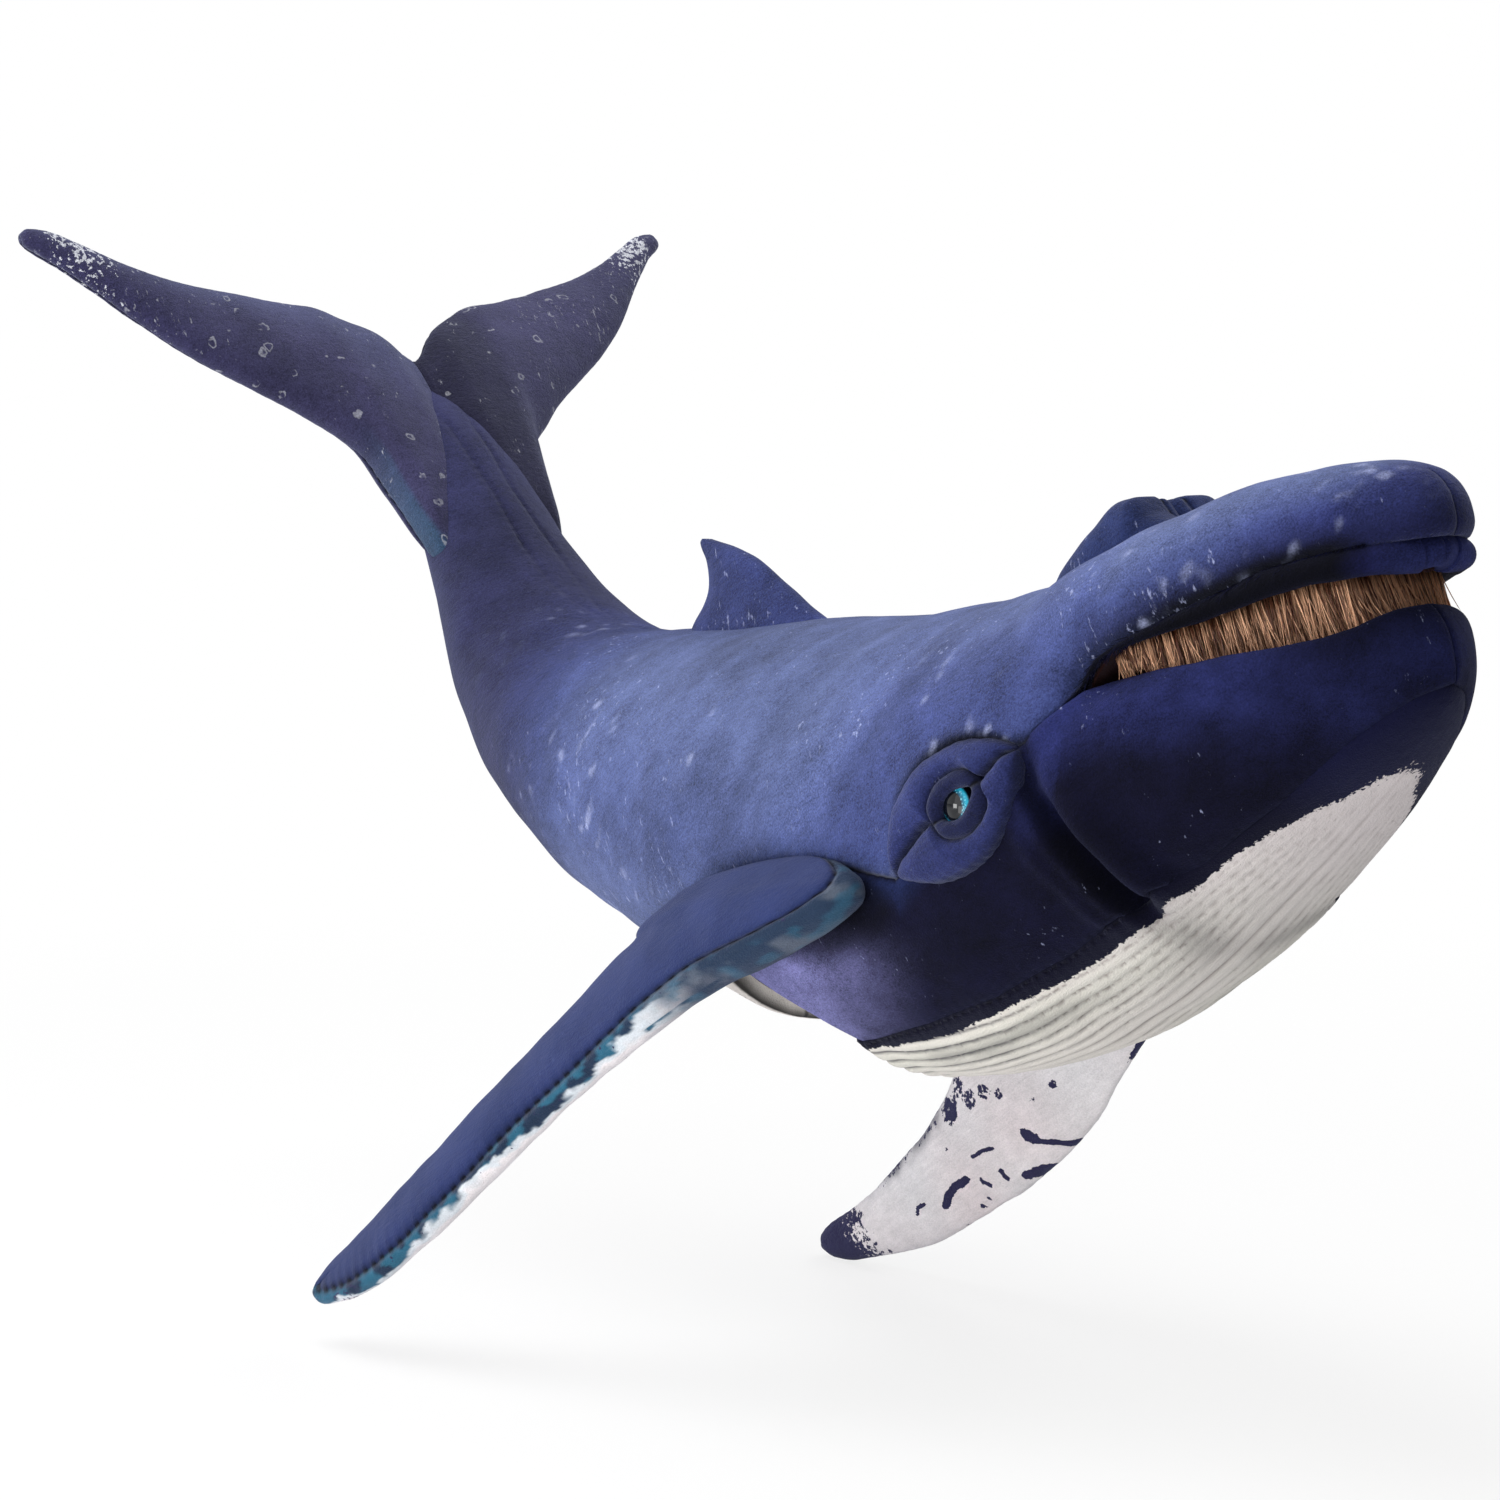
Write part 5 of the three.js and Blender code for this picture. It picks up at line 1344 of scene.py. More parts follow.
@dataclass
class Flipper:
    """One stuffed flipper, of a top and an under panel."""

    name: str
    side: int
    rows: Rows
    droop: float
    velours: Velours
    root: tuple[float, float, float] = (114, 93, -44)
    tilt: float = 13
    pitch: float = 12
    length: float = 230

    def limb(self, count: int, around: int) -> Limb:
        """Rings along the flipper, each raked in its plane and pitched by up to 12 degrees."""
        tilt, swing = math.radians(self.tilt), math.radians(self.droop)
        along = np.array([math.cos(tilt), 0, math.sin(tilt)])
        down = np.array([0, self.side * math.sin(swing), -math.cos(swing)])
        down = unit(down - along * (down @ along))
        outward = np.cross(along, down) * self.side
        x, out, width, thickness, rake = resampled(self.rows, count).T
        turn = np.radians(rake)[:, None]
        pitch = math.radians(self.pitch) * np.clip(out / 40, 0, 1)[:, None]
        flat = along * np.cos(turn) + down * np.sin(turn)
        chord = flat * np.cos(pitch) + outward * np.sin(pitch)
        normal = outward * np.cos(pitch) - flat * np.sin(pitch)
        root = np.array([self.root[0], self.side * self.root[1], self.root[2]])
        centre = root + along * x[:, None] + down * out[:, None]
        return Limb(centre, chord, normal, width, thickness, around)

    def build(self) -> None:
        """Makes the flipper."""
        limb = self.limb(240 if self.side > 0 else 170, 256 if self.side > 0 else 176)
        form, share, across, sine = limb.grid()
        half, thick = half_at(limb.width, share), half_at(limb.thickness, share)
        span = share * self.length
        lift = 4.2 * (across > 0) * smooth(0.01, 0.08, share) * (self.side < 0)
        lift = lift + (0.4 + 2.0 * smooth(0.2, 0.4, share)) * (across > 0) * (self.side > 0)
        seam = thick * sine - lift
        fold = np.interp(share, [0, 0.05, 0.12, 0.24, 0.34, 0.42], [0, 7, 12, 9, 4, 1.5])
        leaf = half - across - fold
        leafy = (across > 0) & (sine > 0) & (share < 0.42) & (self.side < 0)
        seam = np.where(leafy, np.minimum(seam, leaf), seam)
        heights = 0.9 * lumps(form.points, 26, 7) + 0.4 * lumps(form.points, 10, 8)
        heights += puckers(seam, span, 0.14)
        heights -= 1.2 * hump(seam, 0, 1.5)
        heights *= smooth(0, 0.03, 1 - share) * smooth(0, 0.03, share)
        form = form.raised(heights)
        upper = smooth(-0.35, 0.35, seam)
        points = form.points
        blue = dyed(plain(Ink.FLIPPER, points), Ink.HEAD, 0.2 + 0.2 * lumps(points, 18, 4))
        base, second, density = self.under_marks(points, share, across, half, -seam)
        shade = blue * upper[:, None] + base * (1 - upper)[:, None]
        second = np.where(((sine > 0) & (upper > 0.5))[:, None], shade, second)
        density = density * (1 - upper)
        nodes = (f"flipper_{self.name}_top", f"flipper_{self.name}_under")
        fleck = np.clip((0.1 + 0.12 * lumps(points, 20, 6)) * upper, 0, 0.24)
        skin = Skin(form, shade, second, density, fleck, seam, span)
        skin.piece(f"flipper_{self.name}", self.velours["flipper"], "velour_flank", 0.7, nodes,
                   f"flipper_{self.name}")

    def under_marks(self, points: Array, share: Array, across: Array, half: Array,
                    depth: Array) -> tuple[Array, Array, Array]:
        """Dye, second dye and density of marks on the under panel.

        Args:
            points: The form's points.
            share: From root to tip.
            across: Place along the chord.
            half: Half the chord.
            depth: Distance from the panels' seam.
        """
        base = plain(Ink.PALE, points)
        second = plain(Ink.NAVY, points)
        if self.side < 0:
            wave = 2.4 * lumps(points, 14, 14) + 1.8 * lumps(points, 5, 15) + lumps(points, 2.4, 20)
            marbled = smooth(4.4, 3.2, depth + wave) * (across > 0)
            base = dyed(base, Ink.FOAM, smooth(7, 5, depth + wave) * (across > 0))
            base = dyed(base, Ink.TEAL, marbled)
            base = dyed(base, Ink.DEEP, marbled * smooth(0.1, 0.3, lumps(points, 6, 16)) * 0.9)
            base = dyed(base, Ink.DEEP, smooth(0.34, 0.22, share + 0.03 * lumps(points, 9, 19)))
            cloud = smooth(0, 0.6, lumps(points, (14, 9, 7), 28) + 0.5 * lumps(points, 4, 29))
            base = dyed(base, Ink.TEAL, 0.1 * smooth(0.33, 0.26, share))
            base = dyed(base, Ink.FOAM, 0.09 * cloud * smooth(0.36, 0.28, share))
            spots = smooth(0.1, 0.35, lumps(points, 6, 18))
            base = dyed(base, Ink.TEAL, smooth(0.36, 0.24, share) * spots * 0.4)
            density = 0.42 * smooth(0.84, 0.9, share) * smooth(0.97, 0.93, share)
            density = np.maximum(density, 0.25 * smooth(8, 3, depth) * (across > 0))
            return base, second, density
        x, z = points[:, 0], points[:, 2]
        base = toned(base, 0.03 * lumps(points, 22, 30))
        base = base * (1 + np.array([0.02, -0.02, -0.02]) * lumps(points, 30, 31)[:, None])
        density = np.zeros(len(points))
        for line, thick, dense in LEFT_MARKS:
            apart = flat_distance(x, z, np.array(line, float))
            density = np.maximum(density, dense * smooth(thick + 0.9, thick * 0.4, apart))
        edge = half - np.abs(across)
        trailing = (across < 0) * smooth(9, 1, edge + 2.5 * lumps(points, 7, 33))
        grey = trailing * smooth(0.5, 0.62, share) * smooth(0.86, 0.76, share)
        base = dyed(base, Ink.DEEP, grey * (0.3 + 0.4 * smooth(-0.3, 0.5, lumps(points, 6, 34))))
        density = np.maximum(density, 0.5 * grey)
        rim = smooth(4.4, 3.4, depth) * (across > 0)
        density = np.maximum(density, rim * smooth(0.36, 0.28, share))
        tip = 0.9 * smooth(0.78, 1.0, share + 0.02 * lumps(points, 8, 35))
        density = np.maximum(density, np.clip(tip * 1.3, 0, 1.2))
        return base, second, density


def flat_distance(x: Array, z: Array, line: Array) -> Array:
    """Distance in the x and z plane to a line of points, or to one point."""
    spot = np.stack([x, z], 1)[:, None]
    if len(line) == 1:
        return np.linalg.norm(spot[:, 0] - line[0], axis=1)
    start, step = line[:-1], np.diff(line, axis=0)
    share = np.clip(((spot - start) * step).sum(2) / (step**2).sum(1), 0, 1)
    return np.linalg.norm(spot - start - share[..., None] * step, axis=2).min(1)


# Dark marks on the left flipper: points in x and z, half the thickness, and density.
LEFT_MARKS = [
    ([[22, -147]], 8, 0.72), ([[35, -141]], 6.5, 0.62), ([[27, -137]], 8, 0.52),
    ([[44, -136]], 5, 0.55), ([[52, -136]], 3, 0.7), ([[78, -129]], 2.2, 0.75),
    ([[68, -136]], 2.2, 0.6), ([[62, -151], [65, -152]], 3.2, 0.85),
    ([[66, -153], [78, -153], [87, -151]], 0.9, 1.2), ([[34, -164], [39, -161], [45, -159]], 0.4, 1.2),
    ([[20, -163]], 0.7, 1.0), ([[15, -187], [18, -182], [22, -178], [29, -174]], 1.6, 1.2),
    ([[-1, -193], [0, -190], [4, -188]], 0.4, 1.2), ([[47, -168], [49, -171]], 0.9, 1.1),
    ([[36, -173], [40, -175]], 0.7, 1.0), ([[37, -181]], 0.9, 1.1), ([[32, -185]], 0.9, 1.1),
    ([[49, -180]], 1.3, 1.0), ([[57, -169], [65, -165], [76, -163]], 1.8, 0.95),
    ([[20, -196], [28, -193]], 1.5, 0.6), ([[33, -189], [43, -185]], 2.0, 0.62),
]


@dataclass
class Tail:
    """The two flukes on the stock."""

    velours: Velours
    notch: tuple[float, float] = (-239, 153)
    tilt: float = 130
    length: float = 210

    def limb(self, side: int, count: int = 190) -> Limb:
        """Rings out along a fluke, each from its leading to its trailing edge."""
        lean = math.radians(self.tilt)
        up = np.array([math.cos(lean), 0, math.sin(lean)])
        normal = np.array([up[2], 0, -up[0]])
        out, lead, trail, thickness = resampled(FLUKE, count).T
        centre = np.stack([np.full(count, self.notch[0]), side * out,
                           np.full(count, self.notch[1])], 1)
        centre = centre + up * ((lead + trail) / 2)[:, None]
        ones = np.ones((count, 1))
        return Limb(centre, up * ones, normal * ones, trail - lead, thickness, 176)

    def build(self) -> None:
        """Makes the flukes."""
        for name, side in SIDES:
            limb = self.limb(side)
            form, share, across, sine = limb.grid()
            half, thick = half_at(limb.width, share), half_at(limb.thickness, share)
            span = share * self.length
            seam = thick * (sine + 0.42 * (across < 0))
            heights = 0.6 * lumps(form.points, 24, 41 + side) + 0.3 * lumps(form.points, 9, 43)
            heights += puckers(seam, span, 0.12)
            heights -= 1.1 * hump(seam, 0, 1.5)
            heights *= smooth(0, 0.03, 1 - share) * smooth(0, 0.02, share)
            form = form.raised(heights)
            points = form.points
            base = plain(Ink.FLUKE, points)
            # Painted shadow on the far fluke near its root.
            base = toned(base, -0.6 * smooth(0.42, 0.12, share) * (side > 0))
            base = toned(base, 0.18 * lumps(points, 20, 44) + 0.1 * lumps(points, 8, 45))
            # Painted light: the near fluke paler towards its upper edge.
            base = dyed(base, Ink.BACK,
                        0.26 * smooth(0, 1, across / np.maximum(half, 1)) * (side < 0))
            lead = half + across
            strip = smooth(10, 2, lead + 2 * lumps(points, 8, 46)) * smooth(0.45, 0.2, share)
            base = dyed(base, Ink.TEAL, strip * (0.4 if side < 0 else 0.1))
            back_edge = smooth(0.75, 0.2, (half - across) / np.maximum(2 * half, 1))
            tip = smooth(0.72, 0.9, share) * (0.36 + 0.16 * back_edge + 0.1 * lumps(points, 10, 47))
            blotch = tip * smooth(0.985, 0.94, share)
            base = dyed(base, Ink.NAVY, smooth(0.6, 0.8, share) * 0.6)
            fleck = 0.12 + 0.16 * lumps(points, 20, 48) + 0.1 * smooth(0.45, 0.75, share)
            fleck = np.clip(fleck, 0, 0.32)
            skin = Skin(form, base, plain(Ink.CHALK, points), blotch, fleck, seam, span)
            skin.piece(f"fluke_{name}", self.velours["fluke"], "velour_fluke", 0.8,
                       (f"fluke_{name}_top", f"fluke_{name}_under"), "tail")


@dataclass
class Ridges:
    """The dorsal fin and the two lobes round the blowhole."""

    velours: Velours
    lobe_offset: float = 11
    fin_foot: float = 40

    def build(self) -> None:
        """Makes the fin and the lobes."""
        x, z, chord, thickness = resampled(DORSAL_FIN, 90).T
        ones = np.ones((len(x), 1))
        fin = Limb(np.stack([x, 0 * x, z], 1), np.array([1.0, 0, 0]) * ones,
                   np.array([0, -1.0, 0]) * ones, chord, thickness, 120)
        form, share, across, sine = fin.grid()
        seam = half_at(thickness, share) * sine
        seam = np.where(across < 0, seam, np.abs(seam) + 3)
        base = toned(plain(Ink.FIN, form.points), 0.3 * lumps(form.points, 11, 51))
        heights = 0.5 * lumps(form.points, 12, 52) - 0.9 * hump(seam, 0, 1.4)
        form = form.raised(heights * smooth(0, 0.1, 1 - share))
        seam = np.minimum(np.abs(seam), np.abs(form.points[:, 2] - self.fin_foot))
        skin = Skin(form, base, fleck=np.full(len(base), 0.22), seam=seam, run=form.points[:, 0])
        skin.piece("dorsal_fin", self.velours["flank"], "velour_flank", 0.8)
        for name, side in SIDES:
            form = loft(trunk_rings(BLOWHOLE, 110, 96, side * self.lobe_offset))
            points = form.points
            table = resampled(BLOWHOLE, 200)
            middle = column(table, points[:, 0])
            wide = np.maximum(column(table, points[:, 0], 3), 1)
            across = (points[:, 1] - side * self.lobe_offset) / wide
            seam = (across * -side - 0.45) * wide
            seam = np.where(points[:, 2] > middle, np.abs(seam), 9)
            base = toned(plain(Ink.LOBE, points), 0.2 * lumps(points, 12, 53))
            form = form.raised(0.5 * lumps(points, 12, 54) - 1.0 * hump(seam, 0, 1.3))
            skin = Skin(form, base, fleck=np.full(len(points), 0.2), seam=seam, run=points[:, 0])
            skin.piece(f"blowhole_lobe_{name}", self.velours["flank"], "velour_flank", 0.8)


def flank_at(x: Array, z: Array) -> Array:
    """How far the flank stands out from the middle plane."""
    return np.maximum.reduce([width_at(rows, x, z) for rows in (BODY, UPPER_HEAD, LOWER_HEAD)])


def lip_path(line: Rows, rows: Rows, start: float,
             end: float, inset: Array | float, count: int = 90) -> Array:
    """A path in a form's outline from the right corner of the mouth to the middle of the snout.

    Args:
        line: Height by x.
        rows: The form.
        start: First x, from which x rises as a sine.
        end: Last x.
        inset: How far inside the outline, across the path's own direction.
        count: How many points.
    """
    x = start + (end - start) * np.sin(np.linspace(0, math.pi / 2, count))
    z = column(np.array(line, float), x)
    y = -width_at(rows, x, z)
    y = y * np.clip((end - x) / 4, 0, 1) ** 0.5
    ahead = np.gradient(np.stack([x, y], 1), axis=0)
    ahead[-1] = (0, 1)
    ahead = unit(ahead)
    aside = np.stack([-ahead[:, 1], ahead[:, 0]], 1)
    moved = np.stack([x, y], 1) + aside * np.reshape(inset, (-1, 1))
    return np.stack([moved[:, 0], np.minimum(moved[:, 1], 0), z], 1)


# Rings of a hair: place from root to tip, and share of the radius.
HAIR = np.array([[0, 0], [0, 1], [0.3, 0.95], [0.6, 0.85], [0.85, 0.6], [1, 0]])
HAIR_POINTS = 3 * len(HAIR)


def strands(root: Array, aim_at: Array, bend: Array, length: Array, radius: float) -> Surface:
    """Closed three-sided hairs along root + direction * length * t + bend * t^2.

    Args:
        root: Where each hair starts.
        aim_at: Its direction.
        bend: How far its tip is drawn aside.
        length: Its length.
        radius: The radius of all.
    """
    t = HAIR[None, :, :1]
    size = HAIR[None, :, 1, None, None] * radius
    middle = root[:, None] + aim_at[:, None] * length[:, None, None] * t + bend[:, None] * t**2
    side = unit(np.cross(aim_at, [0.31, 0.9, 0.3]))
    other = np.cross(aim_at, side)
    angle = circle(3)[None, None, :, None]
    ring = side[:, None, None] * np.cos(angle) + other[:, None, None] * np.sin(angle)
    points = (middle[:, :, None] + size * ring).reshape(-1, 3)
    starts = np.arange(len(root))[:, None, None] * HAIR_POINTS
    return Surface(points, (grid_faces(len(HAIR), 3)[None] + starts).reshape(-1, 4))


@dataclass(frozen=True)
class Bristle:
    """Stiff glossy fibre: a dark and a light dye mixed by each strand's own tone."""

    name: str
    dark: tuple[int, int, int]
    light: tuple[int, int, int]
    roughness: float = 0.42
    gloss: float = 0.5

    def material(self) -> Material:
        """The finish as a material."""
        stuff, node, shader = new_finish(self.name)
        tone = node.attribute("tone")
        streak = node.noise(node.place((0, 0.48, 0), (1, 1, 0.1)), 900, 2)
        share = node.math("MULTIPLY_ADD", node.math("SUBTRACT", streak, 0.5), 0.5, tone)
        ends = [tuple((np.array(c) / 255.0) ** 2.2) for c in (self.dark, self.light)]
        colour = node.mix(node.ramp(share, 0.0, 1.0), *ends)
        rough = node.math("MULTIPLY_ADD", streak, 0.2, self.roughness - 0.1)
        node.fill(shader, {"Base Color": colour, "Roughness": rough,
                           "Specular IOR Level": self.gloss})
        return stuff


@dataclass
class Mouth:
    """Lip rolls, palate, mouth floor, baleen and the dark fringe over it."""

    velours: Velours
    seed: int = 7
    bristles: int = 4200
    hairs: int = 2600
    bristle_radius: float = 0.24
    hair_radius: float = 0.14

    INNER = [[246, 34], [256, 47], [265, 56], [275, 60], [285, 64], [297, 68], [310, 73], [321, 78],
             [333, 82], [350, 85], [366, 87]]

    def lips(self) -> None:
        """Rolled lips that hang under the upper jaw's edge."""
        x = np.linspace(248, 365, 60)
        high, low = (column(np.array(line, float), x) for line in (UPPER_LIP, self.INNER))
        centre = np.stack([x, (high + low) / 2 + 0.9], 1)
        radius = (high - low) / 2 - 0.1
        for name, side in SIDES:
            path = lip_path(centre, UPPER_HEAD, 249, 364.5, 0, 120)
            size = np.interp(path[:, 0], x, radius) * smooth(247, 262, path[:, 0]) + 0.3
            size = size * (1 + 0.14 * np.cos((path[:, 1] + 14) * 0.26)
                           * smooth(335, 355, path[:, 0]))
            inset = size * (0.62 + 1.0 * smooth(350, 362, path[:, 0]))
            path = lip_path(centre, UPPER_HEAD, 249, 364.5, inset, 120)
            path[:, 1] *= -side
            form = loft(tube_rings(path, size, 28, 1.0))
            points = form.points
            form = form.raised(0.35 * lumps(points, 9, 61))
            # Painted shadow on the rolls' rear, deep in the mouth; navy velour towards the front.
            base = dyed(plain(Ink.GAP, points), Ink.NOSE, smooth(340, 352, points[:, 0]))
            base = dyed(base, Ink.SNOUT, smooth(348, 358, points[:, 0]) * 0.4)
            skin = Skin(form, base)
            skin.piece(f"upper_lip_{name}", self.velours["jowl"], "lining", 0.9)

    def linings(self) -> None:
        """Palate and mouth floor: quilted grids, arched up and sunk as a trough.

        Height is the lip line plus or minus rise * (1 - across^2), with shallow quilting.
        """
        for name, rows, line, start, end, inset, lift, rise, body in (
                ("palate", UPPER_HEAD, self.INNER, 250, 357, 4.5, 1.5, 9.0, ROOT),
                ("mouth_floor", LOWER_HEAD, LOWER_LIP, 250, 352, 7.0, -5.0, -21.0, "lower_jaw")):
            edge = lip_path(line, rows, start, end, inset, 90)
            across = np.linspace(-1, 1, 61)[None]
            x = np.repeat(edge[:, :1], 61, 1)
            y = -edge[:, 1:2] * np.sin(across * math.pi / 2)
            share = 1 - np.sin(across * math.pi / 2) ** 4
            short = smooth(0, 24, -edge[:, 1:2]) * smooth(start - 1, start + 22, x)
            z = edge[:, 2:] + lift + rise * share * short
            z = z - 1.1 * np.abs(np.sin(x * 0.2)) * share * math.copysign(1, rise)
            points = np.stack([x, y, z], -1).reshape(-1, 3)
            faces = grid_faces(90, 61, False)
            sheet = Surface(points, faces if rise < 0 else faces[:, ::-1])
            if (sheet.normals()[:, 2].mean() < 0) == (rise < 0):
                sheet = Surface(points, sheet.faces[:, ::-1])
            base = plain(Ink.GUM if rise > 0 else Ink.LINING, points)
            skin = Skin(sheet, base)
            piece = skin.piece(name, self.velours["lining"], "lining", 0.3, body=body)
            thicken(piece, 0.0016)

    def brush(self) -> None:
        """Baleen: rows of copper bristles that hang across the mouth's opening."""
        rng = np.random.default_rng(self.seed)
        path = lip_path(self.INNER, UPPER_HEAD, 261, 347, 8.5, 200)
        whole = np.concatenate([path, path[::-1] * [1, -1, 1]])
        length = lengths(whole)
        at = np.sort(rng.random(self.bristles)) * length[-1]
        root = along_path(whole, length, at)
        inward = -root * [0, 1, 0] / np.maximum(np.abs(root[:, 1:2]), 6)
        count = len(root)
        layer = rng.random(count)
        root += inward * (layer * 5)[:, None] + [0, 0, 3.0]
        down = np.array([math.sin(math.radians(22)), 0, -math.cos(math.radians(22))])
        tuft = np.sin(at * 0.9) + 0.6 * np.sin(at * 2.3 + 1)
        aim_at = unit(down + rng.normal(0, 0.05, (count, 3))
                      + np.array([0.05, 0, 0]) * tuft[:, None])
        bend = rng.normal(0, 1.4, (count, 3)) + inward * 1.5
        strays = rng.random(count) < 0.04
        bend[strays] += rng.normal(0, 4.0, (int(strays.sum()), 3))
        size = rng.uniform(19, 24, count) * smooth(252, 290, root[:, 0])
        size = np.maximum(size, 8) * np.where(root[:, 0] > 340, 0.8, 1)
        piece = as_mesh("baleen_bristles", strands(root, aim_at, bend, size, self.bristle_radius))
        tone = np.clip(rng.normal(0.52, 0.34, count) + 0.2 * tuft, 0, 1)
        # Painted shade: strands darker towards their roots, under the lip.
        fade = 0.55 + 0.45 * smooth(0.0, 0.45, HAIR[:, 0])
        set_attribute(piece, "tone", np.repeat(tone[:, None] * fade, 3))
        fibre = Bristle("baleen_fibre", (84, 44, 28), (238, 184, 146))
        piece.data.materials.append(fibre.material())
        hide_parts("baleen_right", "baleen_left", "baleen_front")
        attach(piece, ROOT)
        LOG.info("baleen_bristles: %d strands", count)

    def fringe(self) -> None:
        """Long pile that hangs over the upper lip from the velour's cut edge."""
        rng = np.random.default_rng(self.seed + 1)
        path = lip_path(UPPER_LIP, UPPER_HEAD, 250, 352, 1.2, 160)
        pieces = []
        for side in (-1, 1):
            line = path * [1, -side, 1]
            at = rng.random(self.hairs // 2) * (len(line) - 1)
            root = along_path(line, np.arange(len(line)), at)
            out = np.stack([0 * at, side * np.ones(len(at)), 0 * at], 1)
            root += out * rng.uniform(-1.5, 0.3, len(at))[:, None] + [0, 0, 1.2]
            aim_at = unit(np.array([-0.28, 0, -0.75]) + out * 0.35
                          + rng.normal(0, 0.22, (len(at), 3)))
            size = rng.uniform(3.0, 6.5, len(at)) * smooth(352, 320, root[:, 0])
            pieces.append(strands(root, aim_at, rng.normal(0, 0.7, (len(at), 3)),
                                  np.maximum(size, 0.8), self.hair_radius))
        form = joined(pieces)
        piece = as_mesh("lip_fringe", form)
        tone = rng.random(len(form.points) // HAIR_POINTS)
        set_attribute(piece, "tone", np.repeat(tone, HAIR_POINTS))
        pile = Bristle("pile_fringe", (6, 6, 16), (20, 22, 48), 0.9, 0.1)
        piece.data.materials.append(pile.material())
        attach(piece, ROOT)

    def build(self) -> None:
        """Makes the mouth."""
        self.lips()
        self.linings()
        self.brush()
        self.fringe()


@dataclass(frozen=True)
class Glass:
    """A toy eye: coloured rings under a clear dome, by distance from the middle."""

    name: str
    pupil: float = 5.0
    iris: float = 6.5

    def material(self) -> Material:
        """The finish as a material."""
        stuff, node, shader = new_finish(self.name)
        away = node.attribute("away")
        streak = node.noise(node.place(), 1400, 3)
        ring = node.math("MULTIPLY_ADD", node.math("SUBTRACT", streak, 0.5), 0.7, away)
        blue = node.mix(node.ramp(ring, self.pupil, self.iris),
                        (0.004, 0.07, 0.13), (0.02, 0.42, 0.62))
        blue = node.mix(node.ramp(streak, 0.56, 0.7), blue, (0.25, 0.75, 0.85))
        colour = node.mix(node.ramp(away, self.pupil - 0.25, self.pupil + 0.25),
                          (0.002, 0.003, 0.005), blue)
        colour = node.mix(node.ramp(away, self.iris, self.iris + 0.5),
                          colour, (0.002, 0.003, 0.006))
        rough = node.math("MULTIPLY_ADD", streak, 0.03, 0.05)
        node.fill(shader, {"Base Color": colour, "Roughness": rough, "Specular IOR Level": 0.15,
                           "Coat Weight": 0.45, "Coat Roughness": 0.03})
        return stuff


